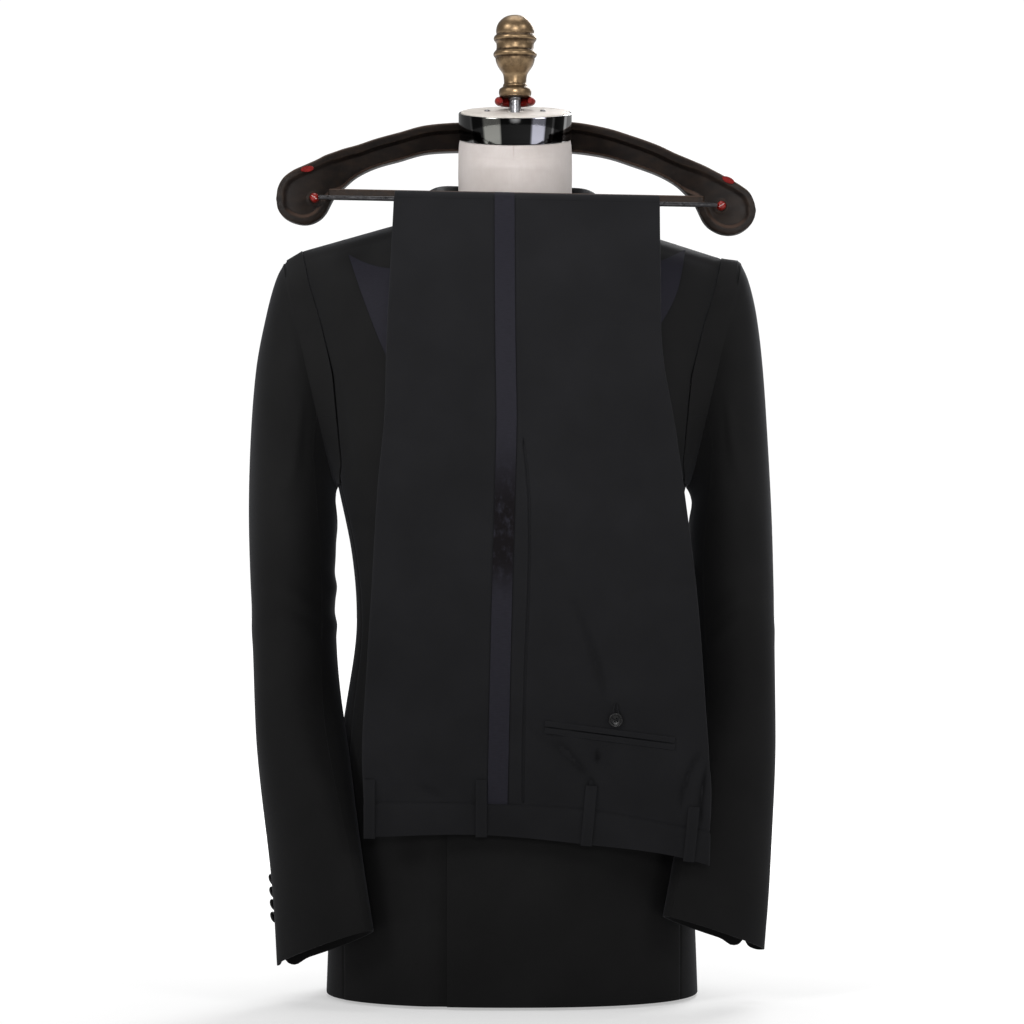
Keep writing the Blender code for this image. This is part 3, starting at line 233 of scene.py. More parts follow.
Loop = namedtuple("Loop", "top_x top_z bottom_x bottom_z")
LOOPS = [
    Loop(-0.1310, 0.2145, -0.1310, 0.1612),
    Loop(-0.0282, 0.2142, -0.0282, 0.1625),
    Loop(0.0730, 0.2086, 0.0680, 0.1545),
    Loop(0.1672, 0.1893, 0.1620, 0.1400),
]
LOOP_WIDTH = 0.0105
POCKET = ((0.0300, 0.2628), (0.1495, 0.2473))
JET = 0.0052

# A soft crease on a panel: its two ends as shares of the panel across and up, how far it
# bows sideways, its half width and its depth. A negative depth raises it.
Fold = namedtuple("Fold", "across up across_end up_end bow width depth")


# --- curves and surfaces ---------------------------------------------------------------


def ease(value):
    value = np.clip(value, 0.0, 1.0)
    return value * value * (3 - 2 * value)


def through(rows, at, keys=None):
    """The table's columns at these values of its first, on a smooth curve through it."""
    table = np.array(rows, float)
    keys = table[:, 0] if keys is None else keys
    slopes = np.gradient(table, keys, axis=0)
    at = np.asarray(at, float)
    first = np.clip(np.searchsorted(keys, at) - 1, 0, len(keys) - 2)
    width = (keys[first + 1] - keys[first])[..., None]
    t = (at[..., None] - keys[first][..., None]) / width
    start, end = table[first], table[first + 1]
    made = (2 * t**3 - 3 * t**2 + 1) * start + (3 * t**2 - 2 * t**3) * end
    made += (t**3 - 2 * t**2 + t) * width * slopes[first]
    made += (t**3 - t**2) * width * slopes[first + 1]
    return np.moveaxis(made, -1, 0)


def by_row(rows, at):
    """The table's columns at a place counted in rows."""
    return through(rows, at, np.arange(len(rows), dtype=float))


def straight(rows, at):
    table = np.array(rows, float)
    return np.interp(at, table[:, 0], table[:, 1])


def pile(*columns):
    return np.stack(np.broadcast_arrays(*columns), -1)


def unit(vectors):
    return vectors / np.maximum(np.linalg.norm(vectors, axis=-1, keepdims=True), 1e-12)


def body(angle, level, out=0.0):
    """Points of the jacket's face, moved out. The angle is 0 in front and 90 at +X."""
    angle, level = np.asarray(angle, float), np.asarray(level, float)
    if np.any(out):
        low = np.minimum(level, SHOULDER - 0.004)
        across = body(angle + 0.5, low) - body(angle - 0.5, low)
        up = body(angle, low + 0.002) - body(angle, low - 0.002)
        return body(angle, level) + unit(np.cross(across, up)) * np.asarray(out)[..., None]
    _, side_z, half, front, back = through(BODY, level)
    sine, cosine = np.sin(np.radians(angle)), np.cos(np.radians(angle))
    reach = (np.abs(sine) ** BODY_POWER + np.abs(cosine) ** BODY_POWER) ** (-1 / BODY_POWER)
    x = half * sine * reach
    y = -np.maximum(np.where(cosine > 0, front, back), 0) * cosine * reach
    soft = 0.012
    rise = np.sqrt(x**2 + soft**2) - soft
    most = np.sqrt(half**2 + soft**2) - soft
    z = level + (side_z - level) * rise / most
    lean = LEAN * x * ease((level - ARMPIT) / (SHOULDER - ARMPIT))
    return pile(x, y, z - lean)


def angle_at(x, level, behind=False):
    half = through(BODY, level)[2]
    share = np.minimum(np.abs(x) / half, 1)
    rest = np.maximum(1 - share**BODY_POWER, 0) ** (1 / BODY_POWER)
    sign = np.where(behind, -1.0, 1.0)
    return np.copysign(np.degrees(np.arctan2(share, sign * rest)), x)


def on_front(x, z, out=0.0):
    """Points of the jacket's front at these x and z."""
    x, z = np.broadcast_arrays(np.asarray(x, float), np.asarray(z, float))
    low, high = np.full(x.shape, 0.003), np.full(x.shape, SHOULDER)
    for _ in range(30):
        level = (low + high) / 2
        below = body(angle_at(x, level), level)[..., 2] < z
        low, high = np.where(below, level, low), np.where(below, high, level)
    return body(angle_at(x, level), level, out)


def on_top(x, y, out=0.0):
    """Points of the jacket's shoulder at these x and y."""
    x, y = np.broadcast_arrays(np.asarray(x, float), np.asarray(y, float))
    low, high = np.full(x.shape, 0.55), np.full(x.shape, SHOULDER)
    for _ in range(30):
        level = (low + high) / 2
        wide = np.abs(body(angle_at(x, level, y > 0), level)[..., 1]) > np.abs(y)
        low, high = np.where(wide, level, low), np.where(wide, high, level)
    return body(angle_at(x, level, y > 0), level, out)


def seam_angle(seam, level, behind):
    """A panel's outer edge by level: the side seam, then the armhole."""
    low = straight(seam, np.minimum(level, ARMPIT))
    start = straight(seam, ARMPIT)
    hole = np.abs(angle_at(straight(ARMHOLE, level), level, behind))
    high = start + (hole - start) * ease((level - ARMPIT) / 0.02)
    return np.where(level <= ARMPIT + 1e-6, low, high)


def steps(length, pitch, fine=()):
    """Places from 0 to 1 along this length, close together at its ends and round fine."""
    ends = [0, 0.0007, 0.0015, 0.0026, 0.0042]
    inner = np.linspace(0.0065, length - 0.0065, max(int(length / pitch), 3))
    places = [*ends, *inner, *(length - np.array(ends))]
    for middle, half, gap in fine:
        places = [p for p in places if abs(p - middle) > half]
        places += list(np.arange(middle - half, middle + half + gap / 2, gap))
    return np.unique(np.clip(np.array(places) / length, 0, 1))


def levels(pitch=0.004):
    low = BODY[0].level + (ARMPIT - BODY[0].level) * steps(BODY_RUN, pitch)[:-4]
    share = np.linspace(0, 1, 60)[1:]
    high = ARMPIT + (SHOULDER - ARMPIT) * np.sin(share * math.pi / 2)
    return np.array([*low, *high])


def body_grid(first, last, rows, out=None):
    """A panel between two edges given as angles for each row, left to right."""
    width = np.median(np.abs(last - first)) * math.radians(1) * 0.17
    share = steps(width, 0.004)
    angle = first[:, None] + (last - first)[:, None] * share[None, :]
    level = np.broadcast_to(rows[:, None], angle.shape)
    points = body(angle, level)
    if out is not None:
        points = body(angle, level, out(points))
    return points


# --- cloth -----------------------------------------------------------------------------


def cloth_lengths(points):
    """How far each point lies along the cloth, across it and up it."""
    across = np.linalg.norm(np.diff(points, axis=1), axis=-1)
    across = np.concatenate([np.zeros((len(points), 1)), np.cumsum(across, 1)], 1)
    across -= across[:, -1:] / 2
    up = np.linalg.norm(np.diff(points, axis=0), axis=-1)
    up = np.concatenate([np.zeros((1, points.shape[1])), np.cumsum(up, 0)], 0)
    return np.stack([across, up], -1)


def grid_normals(points):
    across = np.gradient(points, axis=1)
    up = np.gradient(points, axis=0)
    return unit(np.cross(across, up))


def uv_at(uv, across, up):
    row = min(max(up, 0), 1) * (len(uv) - 1)
    column = min(max(across, 0), 1) * (uv.shape[1] - 1)
    i, j = min(int(row), len(uv) - 2), min(int(column), uv.shape[1] - 2)
    a, b = row - i, column - j
    low = uv[i, j] * (1 - b) + uv[i, j + 1] * b
    high = uv[i + 1, j] * (1 - b) + uv[i + 1, j + 1] * b
    return low * (1 - a) + high * a


def fold_shift(uv, folds):
    """How far the folds move each point in or out."""
    shift = np.zeros(uv.shape[:2])
    share = np.linspace(0, 1, 25)
    for fold in folds:
        start, end = uv_at(uv, fold.across, fold.up), uv_at(uv, fold.across_end, fold.up_end)
        run = end - start
        side = np.array((-run[1], run[0])) / max(np.linalg.norm(run), 1e-9)
        line = start + run * share[:, None] + side * fold.bow * (4 * share * (1 - share))[:, None]
        offset = uv[..., None, :] - line
        distance = np.linalg.norm(offset, axis=-1)
        nearest = distance.argmin(-1)
        signed = np.take_along_axis((offset * side).sum(-1), nearest[..., None], -1)[..., 0]
        far = np.take_along_axis(distance, nearest[..., None], -1)[..., 0]
        taper = np.sin(math.pi * np.clip(share[nearest] * 0.96 + 0.02, 0, 1)) ** 0.8
        trough = np.exp(-((far / fold.width) ** 2))
        beside = (signed - 1.8 * fold.width) / (1.3 * fold.width)
        ridge = 0.45 * np.exp(-(beside**2)) * np.exp(-((far - np.abs(signed)) / fold.width) ** 2)
        shift += fold.depth * taper * (ridge - trough)
    return shift


def seam_shift(uv, seams, dip, width=0.0016, pucker=0.00025):
    """Seams sink a little, and the cloth beside them puckers slightly."""
    shift = np.zeros(uv.shape[:2])
    across, up = uv[..., 0], uv[..., 1]
    reach = {
        "left": across - across[:, :1], "right": across[:, -1:] - across,
        "bottom": up - up[:1], "top": up[-1:] - up,
    }
    for seam in seams.split():
        away = reach[seam]
        along_seam = up if seam in ("left", "right") else across
        phase = RANDOM.uniform(0, 6.28, 3)
        wave = sum(
            np.sin(along_seam * rate + shift_by) / 3
            for rate, shift_by in zip((210, 347, 583), phase)
        )
        shift -= dip * np.exp(-((away / width) ** 2))
        shift += pucker * wave * np.exp(-((away / 0.007) ** 2)) * (1 - np.exp(-away / 0.002))
    return shift


def only(obj):
    """This object alone selected and active."""
    bpy.ops.object.select_all(action="DESELECT")
    obj.select_set(True)
    bpy.context.view_layer.objects.active = obj
    return obj


def close_ends(obj):
    """Fills an open-ended form's ends and turns all of its faces outward."""
    only(obj)
    bpy.ops.object.mode_set(mode="EDIT")
    bpy.ops.mesh.select_all(action="SELECT")
    bpy.ops.mesh.fill_holes(sides=0)
    bpy.ops.mesh.select_all(action="SELECT")
    bpy.ops.mesh.normals_make_consistent(inside=False)
    bpy.ops.object.mode_set(mode="OBJECT")


def finish(obj, node, material, sharp=35):
    """A finished piece: it rides on the root and stands for its CAD node or nodes."""
    nodes = (node,) if isinstance(node, str) else node
    obj.data.materials.clear()
    obj.data.materials.append(material)
    only(obj)
    bpy.ops.object.transform_apply(location=True, rotation=True, scale=True)
    bpy.ops.object.shade_smooth_by_angle(angle=math.radians(sharp))
    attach(obj, "root")
    if nodes:
        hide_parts(*nodes)
    return obj


def apply_modifiers(obj):
    bpy.ops.object.select_all(action="DESELECT")
    obj.select_set(True)
    bpy.context.view_layer.objects.active = obj
    for modifier in list(obj.modifiers):
        bpy.ops.object.modifier_apply(modifier=modifier.name)


def mesh_of_grid(name, points, uv, closed=False):
    rows, columns = points.shape[:2]
    index = np.arange(rows * columns).reshape(rows, columns)
    if closed:
        index = np.concatenate([index, index[:, :1]], 1)
    quads = np.stack([index[:-1, :-1], index[:-1, 1:], index[1:, 1:], index[1:, :-1]], -1)
    quads = quads.reshape(-1, 4)
    mesh = bpy.data.meshes.new(name)
    mesh.from_pydata(points.reshape(-1, 3).tolist(), [], quads.tolist())
    layer = mesh.uv_layers.new(name="cloth")
    layer.uv.foreach_set("vector", uv.reshape(-1, 2)[quads.reshape(-1)].reshape(-1))
    obj = bpy.data.objects.new(name, mesh)
    bpy.context.scene.collection.objects.link(obj)
    return obj


def cloth(name, points, node, material, wall=WALL, seams="", dip=0.0007, folds=(),
          turn=False, shift=None, round_edge=0.0005):
    """A panel of cloth from its grid: rows upward, each from left to right from outside."""
    uv = cloth_lengths(points)
    facing = grid_normals(points) * (-1 if turn else 1)
    moved = fold_shift(uv, folds) + seam_shift(uv, seams, dip)
    if shift is not None:
        moved = moved + shift
    made = points + facing * moved[..., None]
    if turn:
        made, uv = made[:, ::-1], uv[:, ::-1]
    obj = mesh_of_grid(name, made, uv)
    thick = obj.modifiers.new("wall", "SOLIDIFY")
    thick.thickness = wall
    thick.offset = -1
    thick.use_even_offset = False
    if round_edge:
        soft = obj.modifiers.new("edge", "BEVEL")
        soft.width = min(round_edge, wall * 0.45)
        soft.segments = 2
        soft.limit_method = "ANGLE"
        soft.angle_limit = math.radians(55)
    apply_modifiers(obj)
    finish(obj, node, material)
    area = float(np.linalg.norm(np.cross(
        points[1:, :-1] - points[:-1, :-1], points[:-1, 1:] - points[:-1, :-1]), axis=-1).sum())
    width = max(float(np.ptp(uv[..., 0])), 0.0102)
    length = max(float(np.ptp(uv[..., 1])), 0.0102)
    area = min(max(area, 0.31 * width * length), width * length)
    return obj


# --- materials ---------------------------------------------------------------------------


class Finish:
    """A node material under construction."""

    def __init__(self, name, colour, roughness, metallic=0.0):
        self.material = bpy.data.materials.new(name)
        self.material.use_nodes = True
        self.nodes = self.material.node_tree.nodes
        self.links = self.material.node_tree.links
        self.shader = self.nodes["Principled BSDF"]
        self.set("Base Color", (*colour, 1))
        self.set("Roughness", roughness)
        self.set("Metallic", metallic)
        self.material.diffuse_color = (*colour, 1)
        coordinates = self.nodes.new("ShaderNodeTexCoord")
        self.place, self.cloth = coordinates.outputs["Object"], coordinates.outputs["UV"]

    def set(self, socket, value):
        self.shader.inputs[socket].default_value = value

    def link(self, value, socket):
        self.links.new(value, self.shader.inputs[socket])

    def node(self, kind, **inputs):
        made = self.nodes.new(kind)
        for key, value in inputs.items():
            target = made.inputs[int(key[1:])] if key[0] == "i" and key[1:].isdigit() else None
            target = target or made.inputs[key.replace("_", " ")]
            if isinstance(value, bpy.types.NodeSocket):
                self.links.new(value, target)
            else:
                target.default_value = value
        return made

    def mapped(self, source, scale=(1, 1, 1), location=(0, 0, 0), rotation=(0, 0, 0)):
        made = self.node("ShaderNodeMapping", Vector=source)
        made.inputs["Scale"].default_value = scale
        made.inputs["Location"].default_value = location
        made.inputs["Rotation"].default_value = rotation
        return made.outputs[0]

    def noise(self, source, scale, detail=3.0, rough=0.55):
        made = self.node("ShaderNodeTexNoise", Vector=source, Scale=scale, Detail=detail)
        made.inputs["Roughness"].default_value = rough
        return made.outputs["Fac"]

    def wave(self, source, scale, distortion=0.0, direction="X", detail=0.0):
        made = self.node("ShaderNodeTexWave", Vector=source, Scale=scale, Distortion=distortion)
        made.inputs["Detail"].default_value = detail
        made.bands_direction = direction
        return made.outputs["Fac"]

    def math(self, operation, first, second=0.0, clamp=False):
        made = self.nodes.new("ShaderNodeMath")
        made.operation = operation
        made.use_clamp = clamp
        for socket, value in zip(made.inputs, (first, second)):
            if isinstance(value, bpy.types.NodeSocket):
                self.links.new(value, socket)
            else:
                socket.default_value = value
        return made.outputs[0]

    def axis(self, source, letter):
        return self.node("ShaderNodeSeparateXYZ", Vector=source).outputs[letter]

    def ramp(self, factor, stops, smooth=False):
        made = self.node("ShaderNodeValToRGB", Fac=factor)
        made.color_ramp.interpolation = "EASE" if smooth else "LINEAR"
        elements = made.color_ramp.elements
        while len(elements) < len(stops):
            elements.new(0.5)
        for element, (place, value) in zip(elements, stops):
            element.position = place
            grey = isinstance(value, (int, float))
            element.color = (value, value, value, 1) if grey else (*value, 1)
        return made.outputs[0]

    def mix(self, factor, first, second, blend="MIX"):
        made = self.nodes.new("ShaderNodeMix")
        made.data_type = "RGBA"
        made.blend_type = blend
        for socket, value in zip((made.inputs[0], made.inputs[6], made.inputs[7]),
                                 (factor, first, second)):
            if isinstance(value, bpy.types.NodeSocket):
                self.links.new(value, socket)
            elif isinstance(value, (int, float)):
                socket.default_value = value
            else:
                socket.default_value = (*value, 1)
        return made.outputs[2]

    def bump(self, height, strength, distance, normal=None):
        made = self.node("ShaderNodeBump", Height=height, Strength=strength, Distance=distance)
        if normal is not None:
            self.links.new(normal, made.inputs["Normal"])
        return made.outputs[0]


def fine_wool(name, colour):
    """Fine worsted: a faint twill, loose fibre and slow changes of shade."""
    made = Finish(name, colour, 0.82)
    made.set("Specular IOR Level", 0.09)
    made.set("Sheen Weight", 0.03)
    made.set("Sheen Roughness", 0.45)
    made.set("Sheen Tint", (0.85, 0.88, 1.0, 1))
    slow = made.noise(made.place, 14, 3)
    fibre = made.noise(made.mapped(made.cloth, (1, 0.35, 1)), 900, 4, 0.65)
    lively = made.mix(0.5, slow, fibre)
    shade = made.ramp(lively, ((0.30, [c * 0.72 for c in colour]),
                               (0.50, colour), (0.72, [c * 1.42 for c in colour])))
    # Painted shade and highlight: where the cloth bends inward, in creases, seams and hollows, its
    # colour, specular and sheen are darkened as painted shade, and on convex edges they are raised
    # a little as a painted highlight.
    bend = made.nodes.new("ShaderNodeNewGeometry").outputs["Pointiness"]
    painted_crease_shade_and_edge_highlight = made.ramp(bend, ((0.455, 0.25), (0.497, 1.0), (0.505, 1.0), (0.55, 1.12)))
    made.link(made.mix(1.0, shade, painted_crease_shade_and_edge_highlight, "MULTIPLY"), "Base Color")
    made.link(made.math("MULTIPLY", painted_crease_shade_and_edge_highlight, 0.09), "Specular IOR Level")
    made.link(made.math("MULTIPLY", painted_crease_shade_and_edge_highlight, 0.03), "Sheen Weight")
    made.link(made.ramp(fibre, ((0.3, 0.74), (0.7, 0.92))), "Roughness")
    twill = made.wave(made.mapped(made.cloth, rotation=(0, 0, math.radians(63))), 330, 0.6)
    first = made.bump(twill, 0.20, 0.00012)
    second = made.bump(fibre, 0.30, 0.00018, first)
    cockle = made.noise(made.place, 46, 2)
    made.link(made.bump(cockle, 0.10, 0.0014, second), "Normal")
    return made.material


def satin_finish():
    """Silk satin: a dark blue-grey with a fine cross rib, rubbed dull down the outer leg."""
    blue = (0.0100, 0.0096, 0.0134)
    made = Finish("silk_satin", blue, 0.55)
    made.set("Specular IOR Level", 0.05)
    made.set("Sheen Weight", 0.05)
    made.set("Sheen Roughness", 0.35)
    made.set("Sheen Tint", (0.75, 0.78, 1.0, 1))
    rib = made.wave(made.cloth, 420, 0.35, "Y")
    slub = made.noise(made.mapped(made.cloth, (1, 8, 1)), 160, 3)
    height = made.axis(made.place, "Z")
    low = made.ramp(made.math("MULTIPLY", made.math("SUBTRACT", height, 0.375), 22, True),
                    ((0, 0), (1, 1)), True)
    high = made.ramp(made.math("MULTIPLY", made.math("SUBTRACT", 0.535, height), 13, True),
                     ((0, 0), (1, 1)), True)
    mottle = made.ramp(made.noise(made.mapped(made.place, (1, 1, 0.6)), 130, 5, 0.7),
                       ((0.33, 0), (0.50, 1)))
    rubbed = made.math("MULTIPLY", made.math("MULTIPLY", low, high), mottle)
    rubbed = made.math("MULTIPLY", rubbed, 0.9)
    shade = made.ramp(slub, ((0.3, [c * 0.82 for c in blue]), (0.7, [c * 1.2 for c in blue])))
    made.link(made.mix(rubbed, shade, (0.0036, 0.0028, 0.0030)), "Base Color")
    made.link(made.ramp(rubbed, ((0.0, 0.55), (1.0, 0.80))), "Roughness")
    first = made.bump(rib, 0.22, 0.00010)
    made.link(made.bump(slub, 0.18, 0.00025, first), "Normal")
    return made.material


def linen_finish():
    """Natural linen over the form: plain weave, slubs and a little soiling."""
    natural = (0.438, 0.400, 0.389)
    made = Finish("form_linen", natural, 0.85)
    made.set("Specular IOR Level", 0.25)
    made.set("Sheen Weight", 0.08)
    warp = made.wave(made.cloth, 300, 0.9, "X", 1)
    weft = made.wave(made.cloth, 300, 0.9, "Y", 1)
    weave = made.math("MULTIPLY", warp, weft)
    slub = made.noise(made.mapped(made.cloth, (1, 0.12, 1)), 420, 3)
    soil = made.noise(made.place, 22, 4, 0.6)
    shade = made.ramp(soil, ((0.30, (0.378, 0.341, 0.324)), (0.55, natural),
                             (0.78, (0.476, 0.440, 0.428))))
    shade = made.mix(made.ramp(slub, ((0.35, 0.0), (0.75, 0.20))), shade, (0.355, 0.315, 0.282))
    shade = made.mix(made.ramp(weave, ((0.0, 0.30), (0.4, 0.0))), shade, (0.33, 0.295, 0.265))
    off_centre = made.math("ABSOLUTE", made.math("SUBTRACT", made.axis(made.place, "X"), 0.0015))
    line = made.ramp(made.math("MULTIPLY", off_centre, 400.0), ((0.10, 0.55), (0.42, 0.0)))
    high = made.math("MULTIPLY", made.math("SUBTRACT", made.axis(made.place, "Z"), 0.790), 90, True)
    made.link(made.mix(made.math("MULTIPLY", line, high), shade, (0.30, 0.262, 0.235)),
              "Base Color")
    first = made.bump(weave, 0.30, 0.00025)
    made.link(made.bump(slub, 0.20, 0.00030, first), "Normal")
    return made.material


def cream_finish():
    made = Finish("painted_disc", (0.45, 0.41, 0.372), 0.55)
    grain = made.noise(made.place, 90, 5, 0.6)
    fine = made.noise(made.place, 700, 3)
    made.link(made.ramp(grain, ((0.30, (0.31, 0.280, 0.250)), (0.5, (0.415, 0.380, 0.346)),
                                (0.75, (0.475, 0.443, 0.412)))), "Base Color")
    made.link(made.ramp(grain, ((0.3, 0.45), (0.7, 0.65))), "Roughness")
    made.link(made.bump(fine, 0.15, 0.0003), "Normal")
    return made.material


def chrome_finish():
    """Mirror chrome, with painted reflections: dark and bright bands that stand upright round the
    ring, painted into its colour by angle.
    """
    made = Finish("mirror_chrome", (0.6, 0.6, 0.61), 0.09, 1.0)
    centred = made.mapped(made.place, location=(-NECK_X, -NECK_Y, 0))
    around = made.math("ARCTAN2", made.axis(centred, "X"),
                       made.math("MULTIPLY", made.axis(centred, "Y"), -1.0))
    turn = made.math("ADD", made.math("DIVIDE", around, 2 * math.pi), 0.5)
    dark, grey, bright = 0.008, (0.20, 0.20, 0.185), (0.36, 0.36, 0.42)
    # Painted reflection: the studio's dark and bright bands, painted into the base colour round the
    # ring.
    painted_reflection_bands = (
        (0.000, 0.02), (0.030, 0.30), (0.060, 0.35), (0.070, 0.02), (0.130, dark),
        (0.150, 0.25), (0.156, 0.02), (0.255, 0.04), (0.300, 0.05), (0.355, 0.07),
        (0.361, 0.14), (0.366, dark), (0.404, 0.014), (0.409, grey), (0.456, grey),
        (0.460, dark), (0.500, 0.010), (0.546, 0.012), (0.549, bright), (0.585, bright),
        (0.589, 0.02), (0.611, 0.03), (0.614, 0.14), (0.621, 0.01), (0.660, 0.008),
        (0.664, 0.80), (0.674, 0.85), (0.679, 0.40), (0.745, 0.25), (0.780, 0.02),
        (0.900, 0.02), (1.000, 0.02),
    )
    made.link(made.ramp(turn, painted_reflection_bands), "Base Color")
    smear = made.noise(made.place, 160, 3)
    made.link(made.ramp(smear, ((0.35, 0.06), (0.75, 0.16))), "Roughness")
    made.link(made.bump(made.noise(made.place, 60, 2), 0.03, 0.0010), "Normal")
    return made.material


def steel_finish(name="turned_steel", colour=(0.22, 0.22, 0.23)):
    made = Finish(name, colour, 0.30, 1.0)
    turned = made.wave(made.place, 190, 0.8, "Z", 2)
    grime = made.noise(made.place, 300, 4, 0.65)
    made.link(made.ramp(grime, ((0.3, [c * 0.45 for c in colour]), (0.55, colour),
                                (0.8, [c * 1.6 for c in colour]))), "Base Color")
    made.link(made.ramp(grime, ((0.3, 0.22), (0.7, 0.48))), "Roughness")
    made.link(made.bump(turned, 0.12, 0.0002), "Normal")
    return made.material


def brass_finish():
    """Cast brass gone brown, rubbed brighter on its proud rings and dark in its hollows."""
    made = Finish("old_brass", (0.26, 0.165, 0.085), 0.40, 0.85)
    made.set("Specular IOR Level", 0.5)
    height = made.math("DIVIDE", made.math("SUBTRACT", made.axis(made.place, "Z"), FINIAL_FOOT),
                       0.0786)
    hollows = made.ramp(height, (
        (0.00, 0.25), (0.05, 0.0), (0.10, 0.45), (0.16, 0.25), (0.24, 0.0), (0.44, 0.15),
        (0.486, 0.75), (0.50, 0.0), (0.545, 0.0), (0.565, 0.75), (0.60, 0.15), (0.665, 0.35),
        (0.684, 0.75), (0.70, 0.0), (0.728, 0.0), (0.742, 0.75), (0.78, 0.20), (1.0, 0.0),
    ))
    patina = made.noise(made.place, 190, 5, 0.65)
    speck = made.noise(made.place, 900, 3, 0.7)
    stain = made.ramp(made.math("ADD", made.math("MULTIPLY", patina, 0.7),
                                made.math("MULTIPLY", hollows, 0.45)),
                      ((0.30, 0.0), (0.70, 1.0)))
    warm = made.mix(stain, (0.205, 0.139, 0.076), (0.042, 0.025, 0.013))
    made.link(made.mix(made.ramp(speck, ((0.62, 0.0), (0.75, 0.5))), warm, (0.05, 0.03, 0.02)),
              "Base Color")
    made.link(made.ramp(stain, ((0.0, 0.30), (1.0, 0.52))), "Roughness")
    first = made.bump(patina, 0.10, 0.0006)
    made.link(made.bump(speck, 0.08, 0.0002, first), "Normal")
    return made.material


def moulding_finish():
    """Dark brown moulding, scuffed to grey on its faces, rubbed warm along its edges, and painted
    lighter on its upward faces as painted top light.
    """
    brown = (0.0088, 0.0062, 0.0052)
    made = Finish("worn_moulding", brown, 0.55)
    made.set("Specular IOR Level", 0.11)
    streak = made.noise(made.mapped(made.place, (0.5, 1, 2.2)), 60, 5, 0.65)
    scuff = made.noise(made.place, 230, 5, 0.7)
    edge = made.ramp(made.nodes.new("ShaderNodeNewGeometry").outputs["Pointiness"],
                     ((0.50, 0.0), (0.56, 1.0)))
    shade = made.ramp(streak, ((0.30, (0.0052, 0.0040, 0.0036)), (0.50, brown),
                               (0.72, (0.0150, 0.0098, 0.0070))))
    shade = made.mix(made.ramp(scuff, ((0.55, 0.0), (0.78, 0.55))), shade, (0.0190, 0.0178, 0.0164))
    worn = made.math("MULTIPLY", edge, made.ramp(scuff, ((0.35, 0.1), (0.6, 0.8))))
    shade = made.mix(worn, shade, (0.0300, 0.0190, 0.0130))
    # Painted light: faces turned upward are painted a lighter brown, as if lit from above.
    facing = made.nodes.new("ShaderNodeNewGeometry").outputs["Normal"]
    painted_top_light = made.ramp(made.axis(facing, "Z"), ((0.35, 0.0), (0.80, 0.9)))
    made.link(made.mix(painted_top_light, shade, (0.0520, 0.0330, 0.0250)), "Base Color")
    made.link(made.ramp(scuff, ((0.3, 0.42), (0.7, 0.68))), "Roughness")
    first = made.bump(scuff, 0.12, 0.0003)
    made.link(made.bump(streak, 0.10, 0.0010, first), "Normal")
    return made.material


def red_finish():
    red = (0.155, 0.0050, 0.0030)
    made = Finish("red_gloss", red, 0.30)
    made.set("Specular IOR Level", 0.25)
    made.set("Coat Weight", 0.12)
    made.set("Coat Roughness", 0.10)
    cloud = made.noise(made.place, 260, 3)
    made.link(made.ramp(cloud, ((0.3, (0.085, 0.0035, 0.0022)), (0.55, red),
                                (0.8, (0.22, 0.016, 0.010)))), "Base Color")
    made.link(made.bump(cloud, 0.08, 0.0004), "Normal")
    return made.material


def spot_finish():
    made = Finish("red_spot", (0.115, 0.0050, 0.0045), 0.55)
    made.set("Specular IOR Level", 0.06)
    cloud = made.noise(made.place, 500, 3)
    made.link(made.ramp(cloud, ((0.3, (0.070, 0.0045, 0.0038)), (0.6, (0.130, 0.0060, 0.0052)))),
              "Base Color")
    return made.material


def button_finish():
    black = (0.010, 0.010, 0.0105)
    made = Finish("polished_horn", black, 0.26)
    made.set("Specular IOR Level", 0.16)
    grain = made.noise(made.mapped(made.place, (1, 1, 3)), 380, 4, 0.6)
    made.link(made.ramp(grain, ((0.3, (0.004, 0.004, 0.004)), (0.55, (0.007, 0.007, 0.0072)),
                                (0.8, (0.014, 0.0135, 0.013)))), "Base Color")
    made.link(made.ramp(grain, ((0.3, 0.20), (0.7, 0.36))), "Roughness")
    made.link(made.bump(grain, 0.08, 0.0002), "Normal")
    return made.material


WOOL = fine_wool("worsted", (0.0056, 0.0055, 0.0056))
SATIN = satin_finish()
BUTTON = button_finish()
LINEN = linen_finish()
CREAM = cream_finish()
CHROME = chrome_finish()
STEEL = steel_finish()
ROD_STEEL = steel_finish("drawn_rod", (0.048, 0.047, 0.049))
BRASS = brass_finish()
MOULDING = moulding_finish()
RED = red_finish()
SPOT = spot_finish()


# --- jacket ----------------------------------------------------------------------------


def back_panel(side):
    rows = levels()
    outer = seam_angle(BACK_SEAM, rows, True)
    inner_x = straight(BACK_NECK, rows)
    inner = np.abs(angle_at(inner_x, np.minimum(rows, SHOULDER - 1e-4), True))
    edges = (outer, inner) if side > 0 else (-inner, -outer)
    return body_grid(edges[0], edges[1], rows)


def side_panel(side):
    rows = BODY[0].level + (ARMPIT - BODY[0].level) * steps(BODY_RUN, 0.004)
    first, last = straight(FRONT_SEAM, rows), straight(BACK_SEAM, rows)
    edges = (first, last) if side > 0 else (-last, -first)
    return body_grid(edges[0], edges[1], rows)


def under_tuck(points):
    """How far the under front sinks below the over front."""
    low = ease((0.62 - points[..., 2]) / 0.05)
    return -TUCK * ease((points[..., 0] - OVER_EDGE + 0.022) / 0.018) * low


